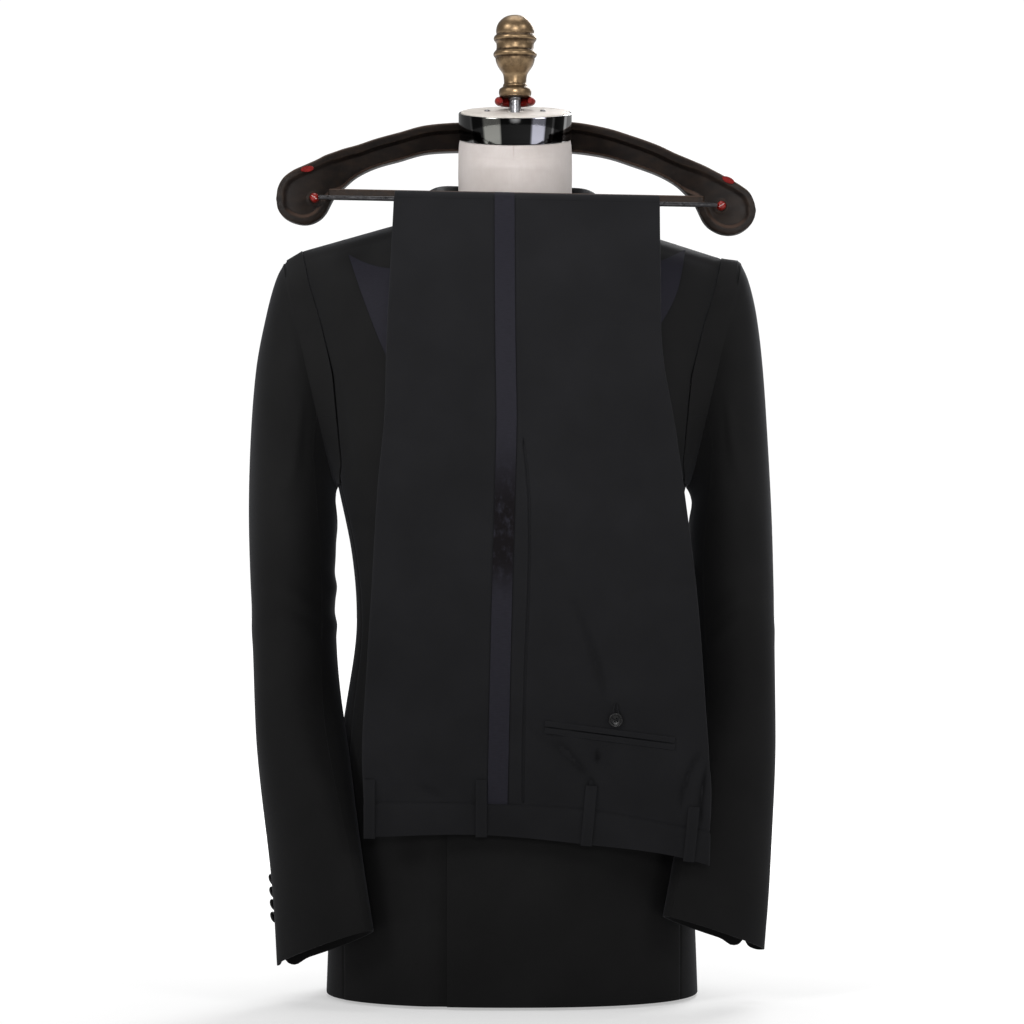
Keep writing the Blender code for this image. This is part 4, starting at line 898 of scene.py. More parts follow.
def front_panel(side):
    rows = levels()
    outer = seam_angle(FRONT_SEAM, rows, False)
    start, top = (OVER_EDGE, NECK_EDGE) if side > 0 else (UNDER_EDGE, -NECK_EDGE)
    roll = start + (top - start) * np.clip((rows - BREAK) / (SHOULDER - BREAK), 0, 1)
    inner = angle_at(roll, np.minimum(rows, SHOULDER - 1e-4))
    edges = (inner, outer) if side > 0 else (-outer, inner)
    return body_grid(edges[0], edges[1], rows, None if side > 0 else under_tuck)


def quadratic(row, share):
    inner_x, inner_z, mid_x, mid_z, outer_x, outer_z = (value[:, None] for value in row)
    pull = 2 * share * (1 - share)
    x = inner_x * (1 - share) ** 2 + outer_x * share**2 + pull * mid_x
    z = inner_z * (1 - share) ** 2 + outer_z * share**2 + pull * mid_z
    return x, z


def lapel_grid(side):
    """From the rolled inner edge out to the lapel's edge, from the break up to the peak."""
    places = (len(LAPELS[side]) - 1) * steps(0.30, 0.004)
    share = steps(0.085, 0.003)[None, :]
    x, z = quadratic(by_row(LAPELS[side], places), share)
    roll = np.sqrt(np.clip(1 - (1 - np.clip(share / 0.07, 0, 1)) ** 2, 0, 1))
    spring = 0.0012 * np.sin(share * math.pi) + 0.0016 * np.exp(-(((share - 0.14) / 0.12) ** 2))
    rise = (LAPEL_RISE + LAPEL_WALL) * roll + spring + 0 * x
    rise = rise * (0.35 + 0.65 * ease(places / 0.6))[:, None] + 0.0007
    points = on_front(x, z, rise)
    return points if side > 0 else points[:, ::-1]


def collar_grid():
    """The collar folded over, from inside the stand, over the fold, to the outer edge."""
    last = len(COLLAR) - 1
    places = last * (2 * steps(0.42, 0.004) - 1)
    stand_x, stand_y, stand_z, fold_x, fold_y, fold_z, edge_x, edge_y = (
        value[None, :] for value in by_row(COLLAR, np.abs(places))
    )
    side = np.sign(places)[None, :] + 0.0
    share = steps(0.062, 0.0022)[:, None]
    edge = on_top(side * edge_x, edge_y + 0 * edge_x, LAPEL_RISE + LAPEL_WALL)
    lift = 0.5 * (fold_z - np.maximum(stand_z, edge[..., 2]))
    stand = pile(side * stand_x, stand_y, stand_z)
    middle = pile(side * fold_x, fold_y, fold_z + lift)
    share3 = share[..., None]
    points = stand * (1 - share3) ** 2 + middle * 2 * share3 * (1 - share3) + edge * share3**2
    points[..., 2] -= LEAN * points[..., 0] * (1 - share)
    return points


def armhole(side):
    """The armhole's edge: angles round it and its points, 0 at the top and 90 in front."""
    high = np.linspace(ARMPIT, SHOULDER, 60)
    front = body(side * seam_angle(FRONT_SEAM, high, False), high)
    back = body(side * seam_angle(BACK_SEAM, high[::-1], True), high[::-1])[1:]
    angles = np.linspace(straight(BACK_SEAM, ARMPIT), straight(FRONT_SEAM, ARMPIT), 12)[1:-1]
    under = body(side * angles, np.full(angles.shape, ARMPIT))
    points = np.concatenate([front, back, under])
    forward = -(points[:, 1] - ARM_CENTRE_Y) / ARM_HALF_Y
    painted_top_light = (points[:, 2] - ARM_CENTRE_Z) / ARM_HALF_Z
    turn = np.degrees(np.arctan2(forward, painted_top_light))
    order = np.argsort(turn)
    return turn[order], points[order]


def armhole_point(table, side, angle):
    turn, points = table
    angle = (angle + 180) % 360 - 180
    place = [np.interp(angle, turn, points[:, k], period=360) for k in range(3)]
    return pile(place[0] - side * 0.0001, place[1], place[2])


def ring_point(side, place, angle):
    """A point round the sleeve at this place, counted in rings, and this angle."""
    outer_x, outer_y, outer_z, inner_x, inner_y, inner_z, depth = by_row(SLEEVES[side], place)
    outer = pile(side * outer_x, outer_y, outer_z)
    inner = pile(side * inner_x, inner_y, inner_z)
    axis = (outer - inner) / 2
    flat = unit(pile(axis[..., 0], axis[..., 1], 0 * axis[..., 0]))
    forward = pile(flat[..., 1] * side, -flat[..., 0] * side, 0 * flat[..., 0])
    turn = np.radians(angle)[..., None]
    sweep = forward * depth[..., None]
    return (outer + inner) / 2 + axis * np.cos(turn) + sweep * np.sin(turn)


def sleeve_grid(side, top):
    """Rows from the cuff up to the armhole, across the top sleeve or the under sleeve."""
    table = armhole(side)
    last = len(SLEEVES[side]) - 1
    head = np.linspace(-1, 0, 9)[:-1]
    arm = np.concatenate([np.linspace(0, 4, 34)[:-1], np.linspace(4, last, 110)])
    close_up = last - np.array([0.10, 0.06, 0.035, 0.018, 0.008, 0.0])
    places = np.unique(np.concatenate([head, arm, close_up]))
    share = ease(places / last)
    hind = HIND_SEAM[side][0] + (HIND_SEAM[side][1] - HIND_SEAM[side][0]) * share
    fore = FORE_SEAM[0] + (FORE_SEAM[1] - FORE_SEAM[0]) * share
    first, end = (hind, fore) if top else (fore, hind + 360)
    across = steps(0.20 if top else 0.13, 0.004)
    angle = first[:, None] + (end - first)[:, None] * across[None, :]
    place = np.broadcast_to(places[:, None], angle.shape)
    on_arm = ring_point(side, np.maximum(place, 0), angle)
    start = armhole_point(table, side, angle)
    rise = ease(1 + np.minimum(place, 0))[..., None]
    points = np.where(place[..., None] < 0, start + (on_arm - start) * rise, on_arm)
    return points[::-1], places[::-1], angle[::-1]


def cuff_notch(points, top):
    """The vent: at the hind seam the cuff's corners are cut back, with a lobe beside them."""
    moved = points.copy()
    uv = cloth_lengths(points)
    across = uv[..., 0] - uv[..., :1, 0] if top else uv[..., -1:, 0] - uv[..., 0]
    up = uv[..., 1]
    near = np.exp(-((up / 0.010) ** 2))
    cut = 0.0052 * np.exp(-((across / 0.0032) ** 2))
    lobe = 0.0034 * np.exp(-(((across - 0.012) / 0.007) ** 2)) * (0.3 if top else 1.0)
    along_up = unit(points[6] - points[0])
    moved += along_up[None] * ((cut - lobe) * near)[..., None]
    return moved


def head_roll(places, angle):
    """The sleeve head stands a little proud of the shoulder, and eases off below it."""
    crown = np.exp(-((angle / 62) ** 2))
    low = np.exp(-(((places - 0.15) / 0.75) ** 2))
    return 0.0024 * crown * low[:, None]


SLEEVE_FOLDS = {
    True: [
        Fold(0.52, 0.545, 0.93, 0.50, 0.006, 0.008, 0.0016),
        Fold(0.60, 0.500, 0.97, 0.455, 0.005, 0.007, 0.0014),
        Fold(0.45, 0.430, 0.90, 0.415, -0.004, 0.008, 0.0009),
        Fold(0.86, 0.88, 0.70, 0.70, 0.004, 0.010, 0.0014),
        Fold(0.14, 0.88, 0.26, 0.66, -0.006, 0.011, 0.0013),
        Fold(0.32, 0.82, 0.36, 0.58, 0.004, 0.013, 0.0008),
        Fold(0.74, 0.40, 0.82, 0.16, 0.005, 0.011, 0.0010),
        Fold(0.28, 0.34, 0.22, 0.10, -0.004, 0.011, 0.0008),
        Fold(0.06, 0.56, 0.38, 0.48, -0.005, 0.010, 0.0009),
    ],
    False: [
        Fold(0.10, 0.56, 0.72, 0.52, 0.006, 0.008, 0.0018),
        Fold(0.08, 0.50, 0.60, 0.47, 0.004, 0.007, 0.0015),
        Fold(0.35, 0.80, 0.45, 0.62, 0.003, 0.010, 0.0013),
        Fold(0.60, 0.42, 0.66, 0.20, -0.003, 0.010, 0.0010),
    ],
}
FRONT_FOLDS = [
    Fold(0.97, 0.640, 0.55, 0.600, 0.006, 0.012, 0.0014),
    Fold(0.95, 0.560, 0.62, 0.520, 0.004, 0.012, 0.0010),
    Fold(0.70, 0.520, 0.30, 0.500, 0.004, 0.013, 0.0008),
    Fold(0.60, 0.440, 0.68, 0.120, 0.006, 0.018, 0.0009),
    Fold(0.86, 0.80, 0.80, 0.68, 0.004, 0.012, 0.0012),
]
BACK_FOLDS = [
    Fold(0.05, 0.66, 0.46, 0.700, 0.006, 0.012, 0.0015),
    Fold(0.07, 0.60, 0.40, 0.615, 0.004, 0.011, 0.0011),
    Fold(0.12, 0.475, 0.75, 0.465, -0.004, 0.013, 0.0012),
    Fold(0.16, 0.430, 0.62, 0.425, 0.003, 0.012, 0.0008),
    Fold(0.55, 0.38, 0.50, 0.08, 0.006, 0.020, 0.0011),
    Fold(0.62, 0.965, 0.50, 0.86, 0.004, 0.014, 0.0010),
]


def mirrored(folds):
    return [
        Fold(1 - f.across, f.up, 1 - f.across_end, f.up_end, -f.bow, f.width, f.depth)
        for f in folds
    ]


def varied(folds, amount=0.03):
    """The same folds on the other side, no two quite alike."""
    made = []
    for fold in folds:
        nudge = RANDOM.uniform(-amount, amount, 4)
        size = RANDOM.uniform(0.75, 1.2, 3)
        made.append(Fold(
            fold.across + nudge[0], fold.up + nudge[1] / 2, fold.across_end + nudge[2],
            fold.up_end + nudge[3] / 2, fold.bow * size[0], fold.width * size[1],
            fold.depth * size[2]))
    return made


def make_jacket():
    for side, word in ((-1, "right"), (1, "left")):
        back = BACK_FOLDS if side > 0 else mirrored(varied(BACK_FOLDS))
        cloth(f"back_{word}", back_panel(side), f"jacket_back_{word}", WOOL,
              seams="left right top", dip=0.0004, round_edge=0.0003, folds=back)
        cloth(f"side_{word}", side_panel(side), f"jacket_side_{word}", WOOL,
              seams="left right",
              folds=[Fold(0.5, 0.80, 0.45, 0.55, 0.003, 0.011, 0.0011),
                     Fold(0.1, 0.50, 0.9, 0.485, 0.002, 0.010, 0.0009)])
        front = FRONT_FOLDS if side > 0 else mirrored(varied(FRONT_FOLDS))
        cloth(f"front_{word}", front_panel(side), f"jacket_front_{word}", WOOL,
              seams="right top" if side > 0 else "left top", dip=0.0003,
              round_edge=0.0002, folds=front)
        cloth(f"lapel_{word}", lapel_grid(side), f"jacket_lapel_{word}", SATIN,
              wall=LAPEL_WALL, round_edge=0.0007)
        for top, part in ((True, "top_sleeve"), (False, "under_sleeve")):
            points, places, angle = sleeve_grid(side, top)
            points = cuff_notch(points, top)
            folds = SLEEVE_FOLDS[top] if side < 0 else varied(SLEEVE_FOLDS[top])
            shift = head_roll(places, angle) if top else None
            cloth(f"{part}_{word}", points, f"jacket_{part}_{word}", WOOL,
                  seams="left right top", dip=0.0002, round_edge=0.0002, folds=folds,
                  shift=shift, turn=side < 0)
    cloth("collar", collar_grid(), "jacket_collar", WOOL,
          wall=LAPEL_WALL, round_edge=0.0007)


make_jacket()


# --- trousers ------------------------------------------------------------------------------


def drop_point(x, z, out, behind=False):
    """Points of the folded trousers, out from the inner face of the drop."""
    column = 2 if behind else 1

    def face(at):
        return through(DROP, at)[column]

    far, near = np.maximum(z - 0.004, 0.13), np.minimum(z + 0.004, ROD_Z)
    rise = pile(face(near) - face(far), near - far)
    rise = unit(rise)
    turn = -1.0 if behind else 1.0
    normal_y, normal_z = -rise[..., 1] * turn, rise[..., 0] * turn
    sink = ROD_SLOPE * x * ease((z - 0.60) / 0.14)
    return pile(x, face(z) + normal_y * out, z + normal_z * out + sink)


def core_at(z):
    return CORE_DROP + (CORE_FOLD - CORE_DROP) * ease((z - 0.66) / 0.085)


def outer_at(z):
    return LAYER + 2 * LAYER_GAP + core_at(z)


def over_rod(x, out, turn):
    angle = np.radians(turn)
    radius = out + (DROP[-1].behind - DROP[-1].front) / 2
    z = ROD_Z + radius * np.sin(angle) + ROD_SLOPE * x
    return pile(x, ROD_Y - radius * np.cos(angle), z)


def path_point(x, step, out, bottom):
    """A point on the way up the front drop, over the rod and down behind."""
    step = step + 0 * x
    height = height_on_path(step, bottom)
    front = drop_point(x, np.where(step <= 1, height, ROD_Z), out)
    behind = drop_point(x, np.where(step >= 2, height, ROD_Z), out, behind=True)
    rod = over_rod(x, out, (np.clip(step, 1, 2) - 1) * 180)
    on_front_drop, on_rod = (step < 1)[..., None], (step <= 2)[..., None]
    return np.where(on_front_drop, front, np.where(on_rod, rod, behind))


def height_on_path(step, bottom):
    up = bottom + (ROD_Z - bottom) * step
    down = ROD_Z + (HEM_Z - ROD_Z) * (step - 2)
    return np.where(step <= 1, up, np.where(step < 2, ROD_Z, down))


def leg_edges(step, bottom=0.19):
    height = height_on_path(step, bottom)
    _, left, stripe, right = through(LEG, np.minimum(height, LEG[-1].z))
    share = ease((0.76 - height) / (0.76 - HEM_Z))
    front = step <= 1
    left = np.where(front, left, -0.1090 + 0.016 * share)
    right = np.where(front, right, 0.1372 - 0.026 * share)
    return left, np.where(step < 2, stripe, LEG[-1].stripe), right


def path_steps(pitch=0.0038):
    up = steps(FRONT_RUN, pitch)
    over = 1 + np.linspace(0, 1, 15)[1:]
    down = 2 + steps(BACK_RUN, pitch * 1.3)[4:]
    return np.unique(np.concatenate([up, over, down]))


def rolled(radius, turns=9):
    """Round a folded edge, from its face to its back: how far in from the edge, and down."""
    angle = np.linspace(0, math.pi, turns)
    return radius[:, None] * (1 - np.sin(angle)), radius[:, None] * (1 - np.cos(angle))


def leg_columns(start, end, radius, roll_start, roll_end, pitch, fine=()):
    """x and depth of a panel's points for each row, its creased edges rolled under."""
    share = steps(float(np.median(end - start)), pitch, fine)[None, :]
    flat_start = start + (radius if roll_start else 0)
    flat_end = end - (radius if roll_end else 0)
    x = flat_start[:, None] + (flat_end - flat_start)[:, None] * share
    down = np.zeros_like(x)
    inward, under = rolled(radius)
    if roll_start:
        x = np.concatenate([(start[:, None] + inward)[:, :0:-1], x], 1)
        down = np.concatenate([under[:, :0:-1], down], 1)
    if roll_end:
        x = np.concatenate([x, (end[:, None] - inward)[:, 1:]], 1)
        down = np.concatenate([down, under[:, 1:]], 1)
    return x, down


def band_line(x, line):
    return through(BAND, np.clip(x, BAND[0].x, BAND[-1].x))[line]


def leg_panel(edges, rolls, raised=0.0, fine=()):
    """A visible panel of the outer leg, from the waistband over the rod to the hem."""
    step = path_steps()
    left, stripe, right = leg_edges(step)
    places = {"crease": left, "before": stripe - STRIPE / 2, "after": stripe + STRIPE / 2,
              "back": right}
    height = height_on_path(step, 0.19)
    radius = (outer_at(height) + LAYER) / 4
    x, down = leg_columns(places[edges[0]], places[edges[1]], radius, *rolls, 0.004, fine)
    bottom = band_line(x, 1)
    height = height_on_path(step[:, None] + 0 * x, bottom)
    return path_point(x, step[:, None], outer_at(height) + LAYER + raised - down, bottom)


def inner_leg():
    """The other leg's outer panel, innermost over the rod, facing in."""
    step = path_steps()
    left, _, right = leg_edges(step)
    height = height_on_path(step, 0.19)
    radius = (outer_at(height) + LAYER) / 4
    x, down = leg_columns(left + 0.0004, right - 0.0004, radius, True, True, 0.005)
    return path_point(x, step[:, None], down, band_line(x, 1))


def hidden_layers():
    """The inner halves of the two legs between, a rounded fold for each at both edges."""
    step = path_steps(0.006)
    left, _, right = leg_edges(step)
    height = height_on_path(step, 0.19)
    core = core_at(height)
    inset = (outer_at(height) + LAYER) / 4 + 0.0002
    round_off = np.linspace(-90, 90, 7)
    sections = []
    for k in range(len(step)):
        half = core[k] / 4
        bulge = half * np.cos(np.radians(round_off))
        rise = half * np.sin(np.radians(round_off))
        inner = [(half - b, half + r) for b, r in zip(bulge, rise)]
        outer = [(half - b, 3 * half + r) for b, r in zip(bulge, rise)]
        edge = inner + outer[1:]
        start, end = left[k] + inset[k], right[k] - inset[k]
        across = np.linspace(start + 0.004, end - 0.004, 24)
        points = [(start + dx, dz) for dx, dz in edge[::-1]]
        points += [(x, 0.0) for x in across]
        points += [(end - dx, dz) for dx, dz in edge]
        points += [(x, core[k]) for x in across[::-1]]
        sections.append(points)
    table = np.array(sections)
    x, depth = table[..., 0], table[..., 1]
    bottom = band_line(x, 2) + 0.003
    return path_point(x, step[:, None], LAYER + LAYER_GAP + depth, bottom)


def waistband(outer):
    share = steps(0.031, 0.003)
    nominal = 0.162 + share * 0.031
    left, _, right = leg_edges(np.zeros_like(share), nominal)
    radius = np.full(share.shape, (outer_at(0.16) + LAYER) / 4)
    x, down = leg_columns(left - 0.0004, right + 0.0004, radius, True, True, 0.004)
    low, high = band_line(x, 2), band_line(x, 1)
    z = low + share[:, None] * (high - low)
    out = outer_at(z) + LAYER + 0.0007 - down if outer else down
    return drop_point(x, z, out)


def on_leg(x, z, out):
    return drop_point(x, z, outer_at(z) + LAYER + out)


def laid_strip(start, end, width, rise, thick, across_steps=9, sag=None):
    """A narrow folded strip laid on the front drop, rounded over at its long edges."""
    start, end = np.array(start), np.array(end)
    run = (end - start) / np.linalg.norm(end - start)
    side = np.array((run[1], -run[0]))
    if abs(run[0]) > abs(run[1]):
        side = -side * np.sign(run[0])
        side = side if side[1] > 0 else -side
    elif side[0] < 0:
        side = -side
    place = steps(float(np.linalg.norm(end - start)), 0.0022)
    share = np.sin(np.linspace(-90, 90, across_steps) * math.pi / 180)
    middle = start + (end - start) * place[:, None]
    flat = middle[:, None, :] + side * (share * width / 2)[None, :, None]
    crown = rise + thick * (0.35 + 0.65 * np.sqrt(np.clip(1 - share**6, 0, 1)))
    out = np.broadcast_to(crown[None, :], flat.shape[:2])
    if sag is not None:
        out = out + sag(place)[:, None]
    return on_leg(flat[..., 0], flat[..., 1], out)


LEG_FRONT_FOLDS = [
    Fold(0.52, 0.030, 0.72, 0.004, 0.002, 0.007, 0.0012),
    Fold(0.30, 0.45, 0.42, 0.30, 0.004, 0.016, 0.0007),
    Fold(0.70, 0.16, 0.62, 0.04, -0.003, 0.012, 0.0008),
    Fold(0.25, 0.06, 0.50, 0.012, 0.002, 0.008, 0.0008),
]
LEG_BACK_FOLDS = [
    Fold(0.38, 0.215, 0.545, 0.080, 0.004, 0.009, 0.0021),
    Fold(0.30, 0.095, 0.44, 0.030, 0.003, 0.006, 0.0022),
    Fold(0.20, 0.085, 0.40, 0.045, 0.002, 0.006, 0.0016),
    Fold(0.86, 0.085, 0.80, 0.025, -0.003, 0.0046, 0.0022),
    Fold(0.93, 0.078, 0.85, 0.016, -0.003, 0.0046, 0.0025),
    Fold(0.60, 0.30, 0.70, 0.16, 0.003, 0.013, 0.0007),
]
# The side pocket's opening and the dart, as sharp grooves: x and z of points on each.
Groove = namedtuple("Groove", "x z")
SIDE_POCKET = [
    Groove(0.0096, 0.530), Groove(0.0135, 0.500), Groove(0.0158, 0.470), Groove(0.0160, 0.425),
    Groove(0.0148, 0.380), Groove(0.0122, 0.320), Groove(0.0104, 0.250), Groove(0.0098, 0.193),
]
DART = [Groove(0.0795, 0.2465), Groove(0.0772, 0.228), Groove(0.0718, 0.2050)]


SIDE_POCKET_DEPTH = 0.0026
DART_DEPTH = 0.0022
SLIT_DEPTH = 0.0012
SLIT_WIDTH = 0.0022


def slit_shift(points):
    """The hollow along the hip pocket's opening, between its two jets."""
    (left, left_z), (right, right_z) = POCKET
    slit = np.interp(points[..., 0], (left, right), (left_z, right_z))
    inside = ease((points[..., 0] - left) / 0.003) * ease((right - points[..., 0]) / 0.003)
    inside = inside * (points[..., 1] < ROD_Y)
    return -SLIT_DEPTH * np.exp(-(((points[..., 2] - slit) / SLIT_WIDTH) ** 2)) * inside


def groove_shift(points, groove, depth, width, step_down=0.0):
    """A sharp groove along a line on the front drop, its outer side lying a little lower."""
    line = np.array(groove)
    height = points[..., 2]
    order = np.argsort(line[:, 1])
    middle = np.interp(height, line[order, 1], line[order, 0])
    low, high = line[:, 1].min(), line[:, 1].max()
    inside = ease((height - low + 0.002) / 0.004) * ease((high - height) / 0.010)
    inside = inside * (points[..., 1] < ROD_Y)
    away = points[..., 0] - middle
    shift = -depth * np.exp(-((away / width) ** 2)) * inside
    return shift - step_down * ease(away / 0.0012) * np.exp(-np.abs(away) / 0.006) * inside


def make_trousers():
    cloth("leg_front", leg_panel(("crease", "before"), (True, False)), "trousers_right_front",
          WOOL_LEG, wall=TROUSER_WALL, seams="right bottom", dip=0.0006,
          folds=LEG_FRONT_FOLDS)
    stripe = leg_panel(("before", "after"), (False, False), 0.0004)
    cloth("side_stripe", stripe, "trousers_side_stripe", SATIN, wall=TROUSER_WALL,
          seams="bottom")
    back = leg_panel(("after", "back"), (False, True),
                     fine=((0.012, 0.007, 0.0007), (0.0735, 0.007, 0.0008)))
    grooves = groove_shift(back, SIDE_POCKET, SIDE_POCKET_DEPTH, 0.0010, 0.0012)
    grooves = grooves + slit_shift(back)
    grooves = grooves + groove_shift(back, DART, DART_DEPTH, 0.0011)
    cloth("leg_back", back, "trousers_right_back", WOOL_LEG, wall=TROUSER_WALL,
          seams="left bottom", dip=0.0006, folds=LEG_BACK_FOLDS, shift=grooves)
    cloth("inner_leg", inner_leg(), "trousers_inner_leg", WOOL_LEG,
          wall=TROUSER_WALL, seams="bottom", turn=True)
    for name, outer, node in (("waistband", True, "trousers_waistband_right"),
                              ("inner_waistband", False, "trousers_waistband_left")):
        cloth(name, waistband(outer), node, WOOL_LEG, wall=TROUSER_WALL, seams="top",
              dip=0.0011, turn=not outer)
    make_hidden_layers()
    for number, loop in enumerate(LOOPS, 1):
        def ends(place):
            sunk = np.exp(-((place / 0.06) ** 2)) + np.exp(-(((1 - place) / 0.06) ** 2))
            return 0.0009 * np.sin(place * math.pi) - 0.0007 * sunk
        strip = laid_strip((loop.bottom_x, loop.bottom_z - 0.0010), (loop.top_x, loop.top_z),
                           LOOP_WIDTH, 0.0010, 0.0013, sag=ends)
        cloth(f"loop_{number}", strip, f"belt_loop_{number}", WOOL_LEG, wall=0.0011)
    start, end = np.array(POCKET[0]), np.array(POCKET[1])
    painted_top_light = np.array((0, JET / 2 + 0.00060))
    for name, way in (("upper", 1), ("lower", -1)):
        strip = laid_strip(start + painted_top_light * way, end + painted_top_light * way, JET, 0.0002, 0.0012)
        cloth(f"jet_{name}", strip[:, ::-1].transpose(1, 0, 2)[::-1], f"hip_pocket_jet_{name}",
              WOOL_LEG, wall=0.0009, round_edge=0.0003)


def make_hidden_layers():
    points = hidden_layers()
    uv = cloth_lengths(points)
    obj = mesh_of_grid("hidden_layers", points, uv, closed=True)
    close_ends(obj)
    finish(obj, "trousers_hidden_layers", WOOL_LEG, sharp=60)


WOOL_LEG = fine_wool("trouser_worsted", (0.0062, 0.0062, 0.0070))
make_trousers()


# --- turned and moulded pieces ---------------------------------------------------------------


def turned(name, profile, turns=64):
    """A closed turned piece from radius and height pairs, standing on its own axis."""
    mesh = bpy.data.meshes.new(name)
    points = [(radius, 0, height) for radius, height in profile]
    mesh.from_pydata(points, [(i, i + 1) for i in range(len(points) - 1)], [])
    obj = bpy.data.objects.new(name, mesh)
    bpy.context.scene.collection.objects.link(obj)
    only(obj)
    bpy.ops.object.mode_set(mode="EDIT")
    bpy.ops.mesh.select_all(action="SELECT")
    bpy.ops.mesh.spin(steps=turns, angle=2 * math.pi, center=(0, 0, 0), axis=(0, 0, 1))
    bpy.ops.mesh.select_all(action="SELECT")
    bpy.ops.mesh.remove_doubles(threshold=0.00001)
    bpy.ops.mesh.dissolve_degenerate(threshold=0.000001)
    bpy.ops.mesh.select_all(action="SELECT")
    bpy.ops.mesh.normals_make_consistent(inside=False)
    bpy.ops.object.mode_set(mode="OBJECT")
    return obj


def smooth_profile(rows, per_row=5):
    place = np.linspace(0, len(rows) - 1, (len(rows) - 1) * per_row + 1)
    radius, height = by_row(rows, place)
    return [(max(float(r), 0.0), float(h)) for r, h in zip(radius, height)]


def cut_away(obj, cutter):
    hole = obj.modifiers.new("cut", "BOOLEAN")
    hole.operation = "DIFFERENCE"
    hole.object = cutter
    apply_modifiers(obj)
    bpy.data.objects.remove(cutter)


def box(size, place, turn=0.0):
    bpy.ops.mesh.primitive_cube_add(size=1, location=place, rotation=(0, 0, turn))
    made = bpy.context.active_object
    made.scale = size
    bpy.ops.object.transform_apply(location=False, rotation=False, scale=True)
    return made


def stand(obj, place, facing):
    """Turns a piece made on its own axis to face this way from this place."""
    turn = Vector(facing).to_track_quat("Z", "Y").to_matrix().to_4x4()
    obj.data.transform(Matrix.Translation(Vector(place)) @ turn)
    return obj


def copy_of(obj, name):
    made = obj.copy()
    made.data = obj.data.copy()
    made.name = name
    bpy.context.scene.collection.objects.link(made)
    return made


def node_place(node, towards):
    """A disc node's middle and the way it faces, on the side away from this point."""
    mesh = frame_mesh(node)
    middle = (mesh.min(0) + mesh.max(0)) / 2
    _, _, axes = np.linalg.svd(mesh - mesh.mean(0))
    facing = axes[2]
    if facing @ (middle - np.array(towards)) < 0:
        facing = -facing
    return middle, facing


def frame_mesh(node):
    mesh = bpy.data.objects[node].data
    points = np.empty(len(mesh.vertices) * 3)
    mesh.vertices.foreach_get("co", points)
    return np.unique(points.reshape(-1, 3).round(6), axis=0)


def make_button(name, radius, thick):
    """A four-hole button with a raised rim and a dished middle, sewn on with thread."""
    rim, low = thick / 2, thick * 0.18
    profile = [
        (0.0, -rim), (radius * 0.80, -rim), (radius * 0.95, -rim * 0.55), (radius, 0.0),
        (radius * 0.975, rim * 0.55), (radius * 0.90, rim * 0.92), (radius * 0.82, rim),
        (radius * 0.75, rim * 0.90), (radius * 0.68, rim * 0.45), (radius * 0.60, low),
        (radius * 0.45, low * 0.55), (0.0, low * 0.4),
    ]
    button = turned(name, profile, 40)
    spread = radius * 0.20
    for x, y in ((-1, -1), (-1, 1), (1, -1), (1, 1)):
        bpy.ops.mesh.primitive_cylinder_add(
            vertices=14, radius=radius * 0.105, depth=thick * 3,
            location=(x * spread, y * spread, 0))
        cut_away(button, bpy.context.active_object)
    threads = []
    for turn in (45, -45):
        reach = spread * math.sqrt(2)
        for offset in (-0.25, 0.25):
            bpy.ops.mesh.primitive_torus_add(
                major_segments=24, minor_segments=6, major_radius=reach,
                minor_radius=radius * 0.032, rotation=(math.pi / 2, 0, 0))
            strand = bpy.context.active_object
            strand.scale = (1, 1, 0.55)
            bpy.ops.object.transform_apply(location=False, rotation=True, scale=False)
            bend = np.array([vertex.co for vertex in strand.data.vertices])
            bend[:, 2] = bend[:, 2] * 0.36 + low * 0.5
            bend[:, 1] += offset * radius * 0.12
            strand.data.vertices.foreach_set("co", bend.reshape(-1))
            strand.data.transform(Matrix.Rotation(math.radians(turn), 4, "Z"))
            strand.scale = (1, 1, 1)
            threads.append(strand)
    bpy.ops.object.select_all(action="DESELECT")
    for strand in threads:
        strand.select_set(True)
    button.select_set(True)
    bpy.context.view_layer.objects.active = button
    bpy.ops.object.join()
    return button


# The right cuff's buttons lean out past the sleeve's edge, and stand further off the cloth.
CUFF_LEAN = (-0.86, 0.55, -0.42)
CUFF_OUT = (-0.0036, -0.0008, 0.0)


def make_buttons():
    cuff = make_button("cuff_button_pattern", 0.0057, 0.0026)
    sleeve = {"right": (-0.190, -0.085, 0.10), "left": (0.200, -0.085, 0.10)}
    for word, inside in sleeve.items():
        for number in range(1, 5):
            node = f"cuff_button_{word}_{number}"
            place, facing = node_place(node, inside)
            if word == "right":
                facing = np.array((CUFF_LEAN[0], facing[1] * CUFF_LEAN[1], CUFF_LEAN[2]))
                place = place + np.array(CUFF_OUT)
            else:
                facing = facing + np.array((0.0, 0.0, 0.23))
            turn = stand(copy_of(cuff, f"cuff_button_{number}_{word}"), place, facing)
            finish(turn, node, BUTTON)
    bpy.data.objects.remove(cuff)
    front = make_button("front_button_pattern", 0.0100, 0.0030)
    for number in (1, 2):
        place, facing = node_place(f"front_button_{number}", (0, 0, 0.38))
        finish(stand(copy_of(front, f"closing_button_{number}"), place, facing),
               f"front_button_{number}", BUTTON)
    bpy.data.objects.remove(front)
    place, facing = node_place("hip_pocket_button", (0, 0, 0.26))
    pocket = make_button("pocket_button", 0.00675, 0.0028)
    pocket.data.transform(Matrix.Rotation(math.radians(20), 4, "Z"))
    finish(stand(pocket, place, facing), "hip_pocket_button", BUTTON)


